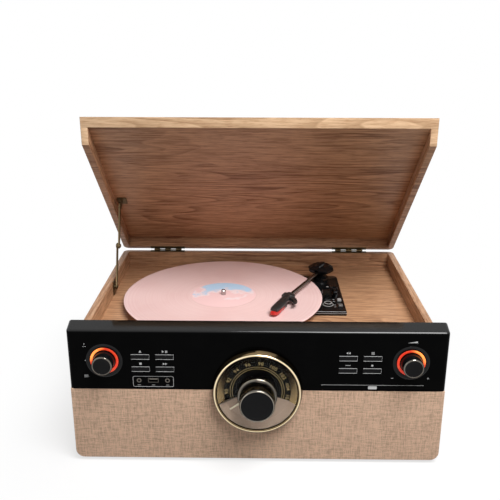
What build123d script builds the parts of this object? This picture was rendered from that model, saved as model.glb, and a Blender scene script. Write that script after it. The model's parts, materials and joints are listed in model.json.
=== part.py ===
"""Stereo music centre: record deck under a hinged lid, CD drawer, radio dial and speakers in one cabinet.

X runs to the right, Y from the front to the back and Z up. Inside this file y = 0 is the front face of the
cabinet and z = 0 is the surface it stands on. Each piece is saved after one shift along Y, which puts the
origin under the middle of the whole part as it stands with its lid open.
"""
from build123d import *
import math
import os

# Cabinet
CABINET_WIDTH = 475.5
FOOT_HEIGHT = 5.0
WALL_HEIGHT = 158.5
BOARD = 10.0
REAR_CORNER_RADIUS = 9.0
DECK_DROP = 24.8

# Front: a cloth covered baffle below, a glossy moulding above
FRONT_DEPTH = 19.0
BAFFLE_HEIGHT = 102.0
CLOTH = 1.2
CLOTH_INSET = 0.2
CLOTH_CORNER_RADIUS = 11.0
BEZEL_OVERHANG = 0.35
BEZEL_HEIGHT = 80.8
BEZEL_TOP_RISE = 6.1
BEZEL_WALL = 3.0
BEZEL_SIDE_RADIUS = 6.0
BEZEL_TOP_RADIUS = 4.0
RAIL_DROP = 2.9
RAIL_BOTTOM_GAP = 13.0

# Lid, hinges and stay
LID_SETBACK = 25.9
LID_PANEL = 10.0
LID_RAIL_DEPTH = 16.7
LID_OPEN = 43.45
LID_SEAT_GAP = 2.0
HINGE_GAP = 3.8
HINGE_SPACING = 320.0
HINGE_LENGTH = 60.0
HINGE_LEAF = 1.3
HINGE_LEAF_WIDTH = 9.0
KNUCKLE_RADIUS = 1.75
KNUCKLE_LENGTH = 10.0
KNUCKLE_PITCH = 19.0
HINGE_PIN_RADIUS = 0.9
STAY_LID_REACH = 145.7
STAY_LID_HEIGHT = 8.0
STAY_WALL_REACH = 145.7
STAY_WALL_DROP = 11.5
STAY_ARM_WIDTH = 9.0
STAY_ARM_THICKNESS = 2.0
STAY_ARM_GAP = 0.5
STAY_STANDOFF = 2.2
STAY_PLATE = 1.5
STAY_PIN_RADIUS = 2.0

# Record drive
STAY_ROOM = 24.15
RECORD_FRONT_GAP = 1.6
RECORD_REAR_GAP = 14.9
SPINDLE_RADIUS = 3.6
SPINDLE_SHAFT_RADIUS = 3.3
SPINDLE_STEP_RISE = 0.4
SPINDLE_POINT = 1.6
SPINDLE_ABOVE_RECORD = 8.0
BEARING_RADIUS = 7.0
BEARING_DROP = 18.0
PLATTER_RADIUS = 100.0
PLATTER_HEIGHT = 8.0
PLATTER_WEB = 2.5
PLATTER_RIM = 4.0
PLATTER_GAP = 2.0
DRIVE_RING_RADIUS = 60.0
MAT_RADIUS = 99.0
MAT_THICKNESS = 2.0
RECORD_RADIUS = 150.8
RECORD_THICKNESS = 2.0
PULLEY_RADIUS = 6.0
PULLEY_REACH = 80.0
MOTOR_RADIUS = 16.0
MOTOR_HEIGHT = 22.0
BELT_THICKNESS = 1.0
BELT_WIDTH = 3.0

# Tonearm
PIVOT_OUTSIDE_RECORD = 5.3
PIVOT_BEHIND_SPINDLE = 86.0
ARM_ABOVE_RECORD = 8.3
ARM_HEADING = 243.0
ARM_PARK_SWING = 29.0
TUBE_RADIUS = 2.8
TUBE_LENGTH = 132.0
COLLAR_START = 121.0
COLLAR_LENGTH = 17.0
COLLAR_WIDTH = 13.0
HEADSHELL_LENGTH = 50.0
HEADSHELL_WIDTH = 12.0
HEADSHELL_YAW = 3.0
STYLUS_LENGTH = 24.0
STYLUS_WIDTH = 7.0
NEEDLE_RADIUS = 0.6
NEEDLE_SETBACK = 7.0
SHELL_BOTTOM = -0.5
SHELL_TOP = 4.5
CARTRIDGE_WIDTH = 11.0
CARTRIDGE_HEIGHT = 6.3
CARTRIDGE_GAP = 9.0
TUBE_BOSS_RADIUS = 4.0
REST_REACH = 78.0
REST_WIDTH = 14.0
REST_LENGTH = 8.0
BOSS_BEHIND_FRONT = 27.0
STYLUS_ABOVE_RECORD = 0.3
BASE_LEFT_OF_PIVOT = 29.3
BASE_RIGHT_OF_PIVOT = 28.2
BASE_AHEAD_OF_PIVOT = 132.0
BASE_BEHIND_PIVOT = 20.0
BASE_THICKNESS = 5.0
HUB_RADIUS = 21.6
HUB_TOP_RADIUS = 13.5
NECK_RADIUS = 9.5
PILLAR_RADIUS = 12.5
PILLAR_HEIGHT = 6.3
HUB_SHAFT_RADIUS = 4.0
LIFT_PIN_RADIUS = 1.5
LIFT_SLOT = 3.3
CUE_RIGHT_OF_PIVOT = 16.2
CUE_AHEAD_OF_PIVOT = 56.0
CUE_PIN_RADIUS = 1.5
CUE_PIVOT_HEIGHT = 6.5
SWITCH_STEM = 1.5
SWITCH_RIGHT_OF_PIVOT = 21.2
SPEED_SWITCH_AHEAD = 109.0
STOP_SWITCH_AHEAD = 88.0
SWITCH_TRAVEL = 5.0

# Radio dial
DIAL_RADIUS = 57.5
DIAL_FRONT_RADIUS = 55.0
DIAL_INNER_RADIUS = 51.5
DIAL_DEPTH = 12.0
DIAL_FACE = 3.0
DIAL_LIP = 2.4
SCALE_RADIUS = 42.4
LENS_THICKNESS = 1.2
TUNING_REACH = 40.0
TUNING_COLLAR_RADIUS = 25.0
TUNING_COLLAR_DEPTH = 18.0
TUNING_CAP_RADIUS = 21.3
POINTER_ANGLE = 215.0
POINTER_LENGTH = 17.0
DIAL_POCKET_RADIUS = 13.0
TUNING_SHAFT = 9.0

# Knobs, buttons, sockets and CD drawer, placed from the middle and above the foot of the bezel
KNOB_INSET = 45.75
KNOB_Z = 40.0
KNOB_RADIUS = 13.4
KNOB_DEPTH = 16.0
SHAFT_RADIUS = 3.0
TRIM_RADIUS = 23.0
LIGHT_OUTER_RADIUS = 17.8
LIGHT_INNER_RADIUS = 14.5
TRIM_HEIGHT = 1.2
BUTTON_WIDTH = 23.6
BUTTON_HEIGHT = 7.3
BUTTON_PROUD = 1.2
BUTTON_TRAVEL = 1.0
# Each column of buttons: its side of the dial, and how far in from that side's knob
BUTTON_COLUMNS = {
    "left_outer": (-1, 45.4),
    "left_inner": (-1, 75.9),
    "right_inner": (1, 78.7),
    "right_outer": (1, 48.3),
}
BUTTON_ROWS = {"upper": 46.0, "lower": 29.0}
SOCKET_INSET = 60.4
SOCKET_Z = 12.3
SOCKET_PANEL_WIDTH = 52.0
SOCKET_PANEL_HEIGHT = 15.4
SOCKET_PANEL_Z = 10.8
JACK_SPACING = 36.0
JACK_RADIUS = 1.75
JACK_LENGTH = 12.0
USB_WIDTH = 13.1
USB_HEIGHT = 5.7
TRAY_SIDE_GAP = 17.45
TRAY_WIDTH = 129.8
TRAY_HEIGHT = 7.0
TRAY_Z = 1.6
TRAY_LENGTH = 150.0
DISC_RADIUS = 60.5
DISC_RECESS = 3.0
CONTROL_BOARD_Y = 12.0
TACT_SWITCH = 4.0
BOARD_INWARD = 99.0
BOARD_OUTWARD = 24.0
BOARD_LOW = 20.5
BOARD_HIGH = 58.0
POST_EDGE = 3.5
POST_RADIUS = 3.0
CONTROL_HALF = 7.0
TUNER_DEPTH = 13.0
TUNER_FLANGE = 2.0

# Speakers, electronics and rear terminals
SPEAKER_INSET = 87.75
SPEAKER_Z = 56.0
SPEAKER_HOLE_RADIUS = 36.0
SPEAKER_RADIUS = 40.0
SPEAKER_FLANGE = 2.0
SPEAKER_DEPTH = 38.0
BASKET_DEPTH = 24.0
MAGNET_RADIUS = 25.0
CONE_DEPTH = 15.0
CONE_THICKNESS = 1.2
DUST_CAP_RADIUS = 14.0
CIRCUIT_BOARD = 1.6
MAIN_BOARD_WIDTH = 160.0
MAIN_BOARD_DEPTH = 120.0
MAIN_BOARD_Y = 190.0
STANDOFF = 6.0
STANDOFF_RADIUS = 3.5
STANDOFF_INSET = 6.0
BOARD_EDGE = 10.0
HEATSINK = (60.0, 25.0, 28.0)
TRANSFORMER = (50.0, 42.0, 36.0)
CAPACITOR_RADIUS = 6.0
CAPACITOR_HEIGHT = 20.0
CAPACITOR_PITCH = 18.0
TERMINAL_WIDTH = 120.0
TERMINAL_HEIGHT = 50.0
TERMINAL_Z = 60.0
TERMINAL_MARGIN = 9.0
TERMINAL_PLATE = 2.0
PHONO_RADIUS = 4.15
PHONO_LENGTH = 8.0
FOOT_RADIUS = 11.0
FOOT_INSET = 38.0
SCREW_RADIUS = 1.4
SCREW_HEAD_RADIUS = 2.9
SCREW_HEAD = 1.6
SCREW_LENGTH = 9.0

# Clearances
FREE = 0.3
RUNNING = 0.05

# Heights and depths that follow from the sizes above
WALL_TOP = FOOT_HEIGHT + WALL_HEIGHT
DECK_TOP = WALL_TOP - DECK_DROP
DECK_BOTTOM = DECK_TOP - BOARD
INNER_HALF = CABINET_WIDTH / 2 - BOARD
BEZEL_WIDTH = CABINET_WIDTH + 2 * BEZEL_OVERHANG
FLOOR_TOP = FOOT_HEIGHT + BOARD
BEZEL_FOOT = FOOT_HEIGHT + BAFFLE_HEIGHT
BEZEL_FRONT_TOP = BEZEL_FOOT + BEZEL_HEIGHT
BEZEL_REAR_TOP = BEZEL_FRONT_TOP + BEZEL_TOP_RISE
RAIL_TOP = BEZEL_REAR_TOP - BEZEL_WALL - RAIL_DROP
RAIL_BOTTOM = BEZEL_FOOT + RAIL_BOTTOM_GAP
HINGE_Z = WALL_TOP + HINGE_GAP / 2
LID_BOTTOM = WALL_TOP + HINGE_GAP
LID_UNDER = LID_BOTTOM + LID_RAIL_DEPTH
LID_TOP = LID_UNDER + LID_PANEL
LID_FRONT = LID_SETBACK
SEAT_SUM = LID_FRONT + LID_TOP - LID_SEAT_GAP * math.sqrt(2)
SPINDLE_X = -INNER_HALF + STAY_ROOM + RECORD_RADIUS
SPINDLE_Y = SEAT_SUM - WALL_TOP + RECORD_FRONT_GAP + RECORD_RADIUS
INNER_REAR = SPINDLE_Y + RECORD_RADIUS + RECORD_REAR_GAP
CABINET_DEPTH = INNER_REAR + BOARD
HINGE_Y = CABINET_DEPTH
PIVOT_X = SPINDLE_X + RECORD_RADIUS + PIVOT_OUTSIDE_RECORD
PIVOT_Y = SPINDLE_Y + PIVOT_BEHIND_SPINDLE
BASE_LEFT = PIVOT_X - BASE_LEFT_OF_PIVOT
BASE_RIGHT = PIVOT_X + BASE_RIGHT_OF_PIVOT
BASE_FRONT = PIVOT_Y - BASE_AHEAD_OF_PIVOT
BASE_REAR = PIVOT_Y + BASE_BEHIND_PIVOT
CUE_PIVOT = (PIVOT_X + CUE_RIGHT_OF_PIVOT, PIVOT_Y - CUE_AHEAD_OF_PIVOT)
SWITCH_X = PIVOT_X + SWITCH_RIGHT_OF_PIVOT
SPEED_SWITCH_Y = PIVOT_Y - SPEED_SWITCH_AHEAD
STOP_SWITCH_Y = PIVOT_Y - STOP_SWITCH_AHEAD
KNOB_X = CABINET_WIDTH / 2 - KNOB_INSET
SOCKET_X = -KNOB_X + SOCKET_INSET
TRAY_X = INNER_HALF - TRAY_SIDE_GAP - TRAY_WIDTH / 2
SPEAKER_X = CABINET_WIDTH / 2 - SPEAKER_INSET
PLATTER_BOTTOM = DECK_TOP + PLATTER_GAP
PLATTER_TOP = PLATTER_BOTTOM + PLATTER_HEIGHT
RECORD_BOTTOM = PLATTER_TOP + MAT_THICKNESS
RECORD_TOP = RECORD_BOTTOM + RECORD_THICKNESS
ARM_Z = RECORD_TOP + ARM_ABOVE_RECORD
BASE_TOP = DECK_TOP + BASE_THICKNESS
PILLAR_TOP = BASE_TOP + PILLAR_HEIGHT
CUE_Z = BASE_TOP + CUE_PIVOT_HEIGHT
DIAL_Z = BEZEL_FOOT
SWITCH_FRONT = CONTROL_BOARD_Y - TACT_SWITCH
TRAY_BOTTOM = BEZEL_FOOT + TRAY_Z
TRAY_TOP = TRAY_BOTTOM + TRAY_HEIGHT
LID_CORNER_REACH = (LID_TOP - HINGE_Z) * math.sin(math.radians(LID_OPEN))
Y_SHIFT = (TUNING_REACH - HINGE_Y - LID_CORNER_REACH) / 2

FRONT, BACK = (0, -1, 0), (0, 1, 0)
UP, DOWN = (0, 0, 1), (0, 0, -1)
RIGHT, LEFT = (1, 0, 0), (-1, 0, 0)


# ------------------------------------------------------------------------------------------ shape helpers
def block(x, y, z):
    """A box between a low and a high value on each axis."""
    middle = Pos((x[0] + x[1]) / 2, (y[0] + y[1]) / 2, (z[0] + z[1]) / 2)
    return middle * Box(x[1] - x[0], y[1] - y[0], z[1] - z[0])


def slab(outline, x):
    """An outline of (y, z) points carried along X."""
    return extrude(Plane.YZ.offset(x[0]) * Polygon(*outline, align=None), amount=x[1] - x[0], dir=RIGHT)


def plate(outline, z):
    """An outline of (x, y) points carried up."""
    return extrude(Plane.XY.offset(z[0]) * Polygon(*outline, align=None), amount=z[1] - z[0], dir=UP)


def rod(radius, start, length, axis):
    """A round bar that starts at a point and runs along an axis."""
    bar = Cylinder(radius, length, align=(Align.CENTER, Align.CENTER, Align.MIN))
    return Plane(origin=start, z_dir=axis) * bar


def tube(outer, inner, start, length, axis):
    """A round bar with a bore right through it."""
    return rod(outer, start, length, axis) - rod(inner, start, length, axis)


def turned(outline, at, axis):
    """A closed outline of (radius, height) points turned about an axis."""
    return Plane(origin=at, z_dir=axis) * revolve(Plane.XZ * Polygon(*outline, align=None), axis=Axis.Z)


def opened(piece):
    """A lid piece drawn closed, swung up to where the lid stands open."""
    return Pos(0, HINGE_Y, HINGE_Z) * Rot(-LID_OPEN, 0, 0) * Pos(0, -HINGE_Y, -HINGE_Z) * piece


def swung_point(y, z):
    """Where a point (y, z) of the closed lid goes when the lid stands open."""
    angle = math.radians(LID_OPEN)
    back, up = y - HINGE_Y, z - HINGE_Z
    return (
        HINGE_Y + back * math.cos(angle) + up * math.sin(angle),
        HINGE_Z - back * math.sin(angle) + up * math.cos(angle),
    )


# ------------------------------------------------------------------------------------------ cabinet
def foot_spots():
    """The four (x, y) places of the feet."""
    side = CABINET_WIDTH / 2 - FOOT_INSET
    return [(x, y) for x in (-side, side) for y in (FOOT_INSET, CABINET_DEPTH - FOOT_INSET)]


def terminal_screw_spots():
    """The four (x, z) places of the screws that hold the terminal plate."""
    across = TERMINAL_WIDTH / 2 - TERMINAL_MARGIN / 2
    high = TERMINAL_HEIGHT / 2 - TERMINAL_MARGIN / 2
    return [(x, TERMINAL_Z + z) for x in (-across, across) for z in (-high, high)]


def base_board():
    board = block((-INNER_HALF, INNER_HALF), (FRONT_DEPTH, INNER_REAR), (FOOT_HEIGHT, FLOOR_TOP))
    for x, y in foot_spots():
        board -= rod(SCREW_RADIUS + RUNNING, (x, y, FOOT_HEIGHT), SCREW_LENGTH, UP)
    return board


def side_boards():
    """Two end boards whose front corner rises at 45 degrees to meet the slanted edge of the lid."""
    outline = [
        (FRONT_DEPTH, FOOT_HEIGHT),
        (CABINET_DEPTH, FOOT_HEIGHT),
        (CABINET_DEPTH, WALL_TOP),
        (SEAT_SUM - WALL_TOP, WALL_TOP),
        (SEAT_SUM - RAIL_TOP, RAIL_TOP),
        (FRONT_DEPTH, RAIL_TOP),
    ]
    right = slab(outline, (INNER_HALF, CABINET_WIDTH / 2))
    corner = right.edges().filter_by(Axis.Z).sort_by(lambda edge: edge.center().X + edge.center().Y)[-1]
    right = fillet(corner, REAR_CORNER_RADIUS)
    return [mirror(right, Plane.YZ), right]


def rear_board():
    board = block((-INNER_HALF, INNER_HALF), (INNER_REAR, CABINET_DEPTH), (FOOT_HEIGHT, WALL_TOP))
    half = TERMINAL_WIDTH / 2 - TERMINAL_MARGIN
    high = TERMINAL_HEIGHT / 2 - TERMINAL_MARGIN
    board -= block((-half, half), (INNER_REAR, CABINET_DEPTH), (TERMINAL_Z - high, TERMINAL_Z + high))
    for x, z in terminal_screw_spots():
        board -= rod(SCREW_RADIUS + RUNNING, (x, INNER_REAR, z), SCREW_LENGTH - TERMINAL_PLATE, BACK)
    return board


def deck_board():
    board = block((-INNER_HALF, INNER_HALF), (FRONT_DEPTH + BOARD, INNER_REAR), (DECK_BOTTOM, DECK_TOP))
    board -= rod(BEARING_RADIUS + RUNNING, (SPINDLE_X, SPINDLE_Y, DECK_BOTTOM), BOARD, UP)
    pulley_x, pulley_y = pulley_spot()
    return board - rod(PULLEY_RADIUS + 2 * FREE, (pulley_x, pulley_y, DECK_BOTTOM), BOARD, UP)


def front_rail():
    """The hidden cross piece that holds the bezel, with the 45 degree landing for the lid."""
    rear = FRONT_DEPTH + BOARD
    outline = [
        (FRONT_DEPTH, RAIL_BOTTOM),
        (rear, RAIL_BOTTOM),
        (rear, DECK_TOP),
        (SEAT_SUM - WALL_TOP, DECK_TOP),
        (SEAT_SUM - WALL_TOP, WALL_TOP),
        (SEAT_SUM - RAIL_TOP, RAIL_TOP),
        (FRONT_DEPTH, RAIL_TOP),
    ]
    return slab(outline, (-INNER_HALF, INNER_HALF))


def rounded_front(half, y, z, radius):
    """A front panel with its two lower corners rounded."""
    panel = block((-half, half), y, z)
    corners = panel.edges().filter_by(Axis.Y).group_by(Axis.Z)[0]
    return fillet(corners, radius)


def baffle_form():
    half = CABINET_WIDTH / 2 - CLOTH_INSET - CLOTH
    height = (FOOT_HEIGHT + CLOTH, BEZEL_FOOT)
    return rounded_front(half, (CLOTH, FRONT_DEPTH), height, CLOTH_CORNER_RADIUS - CLOTH)


def dial_pocket():
    """The round passage behind the dial, shared by the baffle, the cloth and the bezel."""
    return rod(DIAL_POCKET_RADIUS, (0, 0, DIAL_Z), FRONT_DEPTH, BACK)


def front_baffle():
    board = baffle_form() - dial_pocket()
    for x in (-SPEAKER_X, SPEAKER_X):
        board -= rod(SPEAKER_HOLE_RADIUS, (x, CLOTH, SPEAKER_Z), FRONT_DEPTH, BACK)
    return board


def grille_cloth():
    half = CABINET_WIDTH / 2 - CLOTH_INSET
    wrap = rounded_front(half, (0, FRONT_DEPTH), (FOOT_HEIGHT, BEZEL_FOOT), CLOTH_CORNER_RADIUS)
    return wrap - baffle_form() - dial_pocket()


def button_spots():
    """Each button's name with the (x, z) of its middle."""
    return {
        f"button_{column}_{row}": (side * (KNOB_X - inward), BEZEL_FOOT + z)
        for column, (side, inward) in BUTTON_COLUMNS.items()
        for row, z in BUTTON_ROWS.items()
    }


def board_post_spots():
    """The (x, z) places of the posts that carry the two control boards."""
    inner, outer = KNOB_X - BOARD_INWARD + POST_EDGE, KNOB_X + BOARD_OUTWARD - POST_EDGE
    low, high = BEZEL_FOOT + BOARD_LOW + POST_EDGE, BEZEL_FOOT + BOARD_HIGH - POST_EDGE
    return [(side * x, z) for side in (-1, 1) for x in (inner, outer) for z in (low, high)]


def front_bezel():
    half = BEZEL_WIDTH / 2
    outline = [
        (0, BEZEL_FOOT),
        (FRONT_DEPTH, BEZEL_FOOT),
        (FRONT_DEPTH, BEZEL_REAR_TOP),
        (0, BEZEL_FRONT_TOP),
    ]
    shell = slab(outline, (-half, half))
    uprights = shell.edges().filter_by(Axis.Z).group_by(Axis.Y)[0]
    shell = fillet(uprights, BEZEL_SIDE_RADIUS)
    front_top = shell.edges().filter_by(Axis.X).filter_by(lambda edge: abs(edge.center().Y) < 1)
    shell = fillet(front_top.sort_by(Axis.Z)[-1], BEZEL_TOP_RADIUS)
    slope = BEZEL_TOP_RISE / FRONT_DEPTH
    wall = BEZEL_WALL
    hollow = [
        (wall, BEZEL_FOOT + wall),
        (FRONT_DEPTH, BEZEL_FOOT + wall),
        (FRONT_DEPTH, BEZEL_REAR_TOP - wall),
        (wall, BEZEL_FRONT_TOP + slope * wall - wall),
    ]
    shell -= slab(hollow, (-half + wall, half - wall))
    for x, z in board_post_spots():
        shell += rod(POST_RADIUS, (x, wall, z), CONTROL_BOARD_Y - wall, BACK)
    shell -= dial_pocket()
    for x in (-KNOB_X, KNOB_X):
        shell -= rod(SHAFT_RADIUS + FREE, (x, 0, BEZEL_FOOT + KNOB_Z), wall, BACK)
    across, high = BUTTON_WIDTH / 2 + FREE, BUTTON_HEIGHT / 2 + FREE
    for x, z in button_spots().values():
        shell -= block((x - across, x + across), (0, wall), (z - high, z + high))
    across = SOCKET_PANEL_WIDTH / 2 + RUNNING
    low = BEZEL_FOOT + SOCKET_PANEL_Z - SOCKET_PANEL_HEIGHT / 2 - RUNNING
    high = low + SOCKET_PANEL_HEIGHT + 2 * RUNNING
    shell -= block((SOCKET_X - across, SOCKET_X + across), (0, wall), (low, high))
    across = TRAY_WIDTH / 2 + FREE
    tray_gap = (TRAY_BOTTOM - FREE, TRAY_TOP + FREE)
    return shell - block((TRAY_X - across, TRAY_X + across), (0, FRONT_DEPTH), tray_gap)


def rubber_feet():
    feet = []
    for x, y in foot_spots():
        foot = rod(FOOT_RADIUS, (x, y, 0), FOOT_HEIGHT, UP)
        foot -= rod(SCREW_RADIUS + RUNNING, (x, y, 0), FOOT_HEIGHT, UP)
        foot -= rod(SCREW_HEAD_RADIUS + FREE, (x, y, 0), FOOT_HEIGHT / 2, UP)
        feet.append(foot)
    return feet


def screw(start, axis, shank):
    """A pan head screw whose head seats at the start and whose shank runs along the axis."""
    away = tuple(-part for part in axis)
    return rod(SCREW_RADIUS, start, shank, axis) + rod(SCREW_HEAD_RADIUS, start, SCREW_HEAD, away)


def fixing_screws():
    seat = FOOT_HEIGHT / 2
    screws = [screw((x, y, seat), UP, SCREW_LENGTH) for x, y in foot_spots()]
    behind = INNER_REAR - TERMINAL_PLATE
    screws += [screw((x, behind, z), BACK, SCREW_LENGTH - 1) for x, z in terminal_screw_spots()]
    return screws


# ------------------------------------------------------------------------------------------ lid
def lid_corners_rounded(piece):
    """Rounds the two upright rear corners of a lid piece drawn closed."""
    uprights = piece.edges().filter_by(Axis.Z)
    corners = [
        edge
        for edge in uprights
        if abs(edge.center().Y - HINGE_Y) < 0.1 and abs(abs(edge.center().X) - CABINET_WIDTH / 2) < 0.1
    ]
    return fillet(corners, REAR_CORNER_RADIUS)


def lid_panel():
    outline = [
        (HINGE_Y, LID_UNDER),
        (HINGE_Y, LID_TOP),
        (LID_FRONT, LID_TOP),
        (LID_FRONT + LID_PANEL, LID_UNDER),
    ]
    panel = slab(outline, (-CABINET_WIDTH / 2, CABINET_WIDTH / 2))
    return opened(lid_corners_rounded(panel))


def lid_rails():
    """Left, right and rear edge pieces; the front of the lid has none."""
    outline = [
        (HINGE_Y, LID_BOTTOM),
        (HINGE_Y, LID_UNDER),
        (LID_FRONT + LID_PANEL, LID_UNDER),
        (LID_FRONT + LID_PANEL + LID_RAIL_DEPTH, LID_BOTTOM),
    ]
    right = lid_corners_rounded(slab(outline, (INNER_HALF, CABINET_WIDTH / 2)))
    rear = block((-INNER_HALF, INNER_HALF), (INNER_REAR, HINGE_Y), (LID_BOTTOM, LID_UNDER))
    return [opened(mirror(right, Plane.YZ)), opened(rear), opened(right)]


def hinge_leaf(x, knuckles, low, high, bore):
    """One leaf between two heights, with knuckles about the hinge line at the given offsets."""
    half = HINGE_LENGTH / 2
    edge = HINGE_Y - HINGE_LEAF_WIDTH
    leaf = block((x - half, x + half), (edge, HINGE_Y - KNUCKLE_RADIUS - FREE), (low, high))
    for offset in knuckles:
        middle = x + offset
        ends = (middle - KNUCKLE_LENGTH / 2, middle + KNUCKLE_LENGTH / 2)
        leaf += block(ends, (edge, HINGE_Y), (low, high))
        leaf += rod(KNUCKLE_RADIUS, (ends[0], HINGE_Y, HINGE_Z), KNUCKLE_LENGTH, RIGHT)
    if bore:
        leaf -= rod(HINGE_PIN_RADIUS + RUNNING, (x - half, HINGE_Y, HINGE_Z), HINGE_LENGTH, RIGHT)
    return leaf


def hinge_cabinet_leaves():
    """The lower leaves, each with its middle knuckle and the pin fixed in it."""
    leaves = []
    pin_half = KNUCKLE_PITCH + KNUCKLE_LENGTH / 2
    for x in (-HINGE_SPACING / 2, HINGE_SPACING / 2):
        leaf = hinge_leaf(x, (0,), WALL_TOP, WALL_TOP + HINGE_LEAF, False)
        leaf += rod(HINGE_PIN_RADIUS, (x - pin_half, HINGE_Y, HINGE_Z), 2 * pin_half, RIGHT)
        leaves.append(leaf)
    return leaves


def hinge_lid_leaves():
    """The upper leaves, each with two bored knuckles either side of the middle one."""
    offsets = (-KNUCKLE_PITCH, KNUCKLE_PITCH)
    spots = (-HINGE_SPACING / 2, HINGE_SPACING / 2)
    return [opened(hinge_leaf(x, offsets, LID_BOTTOM - HINGE_LEAF, LID_BOTTOM, True)) for x in spots]


# ------------------------------------------------------------------------------------------ folding stay
STAY_LID_CLOSED = (HINGE_Y - STAY_LID_REACH, LID_BOTTOM + STAY_LID_HEIGHT)
STAY_LID_PIVOT = swung_point(*STAY_LID_CLOSED)
STAY_WALL_PIVOT = (HINGE_Y - STAY_WALL_REACH, WALL_TOP - STAY_WALL_DROP)
STAY_LINK = math.dist(STAY_LID_PIVOT, STAY_WALL_PIVOT) / 2
STAY_ELBOW = tuple((a + b) / 2 for a, b in zip(STAY_LID_PIVOT, STAY_WALL_PIVOT))
LOWER_ARM_X = -INNER_HALF + STAY_PLATE + STAY_STANDOFF
UPPER_ARM_X = LOWER_ARM_X + STAY_ARM_THICKNESS + STAY_ARM_GAP


def stay_arm(start, end, x):
    """A flat bar with round ends between two (y, z) pivots, bored at the start only."""
    bar = rod(STAY_ARM_WIDTH / 2, (x, *start), STAY_ARM_THICKNESS, RIGHT)
    bar += rod(STAY_ARM_WIDTH / 2, (x, *end), STAY_ARM_THICKNESS, RIGHT)
    along = ((end[0] - start[0]) / STAY_LINK, (end[1] - start[1]) / STAY_LINK)
    side = (-along[1] * STAY_ARM_WIDTH * 0.4, along[0] * STAY_ARM_WIDTH * 0.4)
    corners = [
        (start[0] + side[0], start[1] + side[1]),
        (end[0] + side[0], end[1] + side[1]),
        (end[0] - side[0], end[1] - side[1]),
        (start[0] - side[0], start[1] - side[1]),
    ]
    bar += slab(corners, (x, x + STAY_ARM_THICKNESS))
    return bar - rod(STAY_PIN_RADIUS + RUNNING, (x, *start), STAY_ARM_THICKNESS, RIGHT)


def stay_wall_bracket():
    """A plate on the left wall with the pivot pin of the lower arm."""
    y, z = STAY_WALL_PIVOT
    wall = -INNER_HALF
    bracket = block((wall, wall + STAY_PLATE), (y - 7, y + 7), (z - 12, z + 10))
    bracket += rod(STAY_PIN_RADIUS, (wall, y, z), STAY_PLATE + STAY_STANDOFF + STAY_ARM_THICKNESS, RIGHT)
    return bracket + rod(STAY_PIN_RADIUS + 1.2, (wall, y, z), STAY_PLATE + STAY_STANDOFF - FREE, RIGHT)


def stay_lower_arm():
    """The arm on the wall pivot, with its half of the elbow rivet on the wall side."""
    arm = stay_arm(STAY_WALL_PIVOT, STAY_ELBOW, LOWER_ARM_X)
    return arm + rod(3.0, (LOWER_ARM_X, *STAY_ELBOW), 1.0, LEFT)


def stay_upper_arm():
    """The arm on the lid pivot, with its half of the elbow rivet on the room side."""
    arm = stay_arm(STAY_LID_PIVOT, STAY_ELBOW, UPPER_ARM_X)
    return arm + rod(3.0, (UPPER_ARM_X + STAY_ARM_THICKNESS, *STAY_ELBOW), 1.0, RIGHT)


def stay_lid_bracket():
    """An angle under the lid panel whose ear carries the pin of the upper arm."""
    y, z = STAY_LID_CLOSED
    ear = UPPER_ARM_X + STAY_ARM_THICKNESS + FREE
    foot = LID_UNDER - STAY_PLATE
    bracket = block((UPPER_ARM_X - 3, ear + 9), (y - 9, y + 9), (foot, LID_UNDER))
    bracket += block((ear, ear + STAY_PLATE), (y - 5, y + 5), (z - 4, LID_UNDER))
    return opened(bracket + rod(STAY_PIN_RADIUS, (UPPER_ARM_X, y, z), ear - UPPER_ARM_X, RIGHT))


# ------------------------------------------------------------------------------------------ record drive
def pulley_spot():
    """The (x, y) of the motor, to the rear left of the spindle."""
    angle = math.radians(135)
    return SPINDLE_X + PULLEY_REACH * math.cos(angle), SPINDLE_Y + PULLEY_REACH * math.sin(angle)


def platter():
    top = PLATTER_HEIGHT
    web = top - PLATTER_WEB
    outline = [
        (SPINDLE_SHAFT_RADIUS + RUNNING, top),
        (SPINDLE_SHAFT_RADIUS + RUNNING, 1.2),
        (BEARING_RADIUS + 3, 1.2),
        (BEARING_RADIUS + 3, web),
        (DRIVE_RING_RADIUS - 4, web),
        (DRIVE_RING_RADIUS - 4, 0.5),
        (DRIVE_RING_RADIUS, 0.5),
        (DRIVE_RING_RADIUS, web),
        (PLATTER_RADIUS - PLATTER_RIM, web),
        (PLATTER_RADIUS - PLATTER_RIM, 0),
        (PLATTER_RADIUS - 0.8, 0),
        (PLATTER_RADIUS, 0.8),
        (PLATTER_RADIUS, top - 1),
        (PLATTER_RADIUS - 1, top),
    ]
    return turned(outline, (SPINDLE_X, SPINDLE_Y, PLATTER_BOTTOM), UP)


def slip_mat():
    at = (SPINDLE_X, SPINDLE_Y, PLATTER_TOP)
    return tube(MAT_RADIUS, SPINDLE_RADIUS + RUNNING, at, MAT_THICKNESS, UP)


def record():
    """A vinyl disc with a raised rim and a raised label area."""
    high = RECORD_THICKNESS
    outline = [
        (SPINDLE_RADIUS + RUNNING, 0),
        (RECORD_RADIUS - 0.5, 0),
        (RECORD_RADIUS, high / 2),
        (RECORD_RADIUS - 0.5, high),
        (RECORD_RADIUS - 3, high),
        (RECORD_RADIUS - 4, high - 0.3),
        (53, high - 0.3),
        (51, high),
        (SPINDLE_RADIUS + RUNNING, high),
    ]
    return turned(outline, (SPINDLE_X, SPINDLE_Y, RECORD_BOTTOM), UP)


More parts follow.
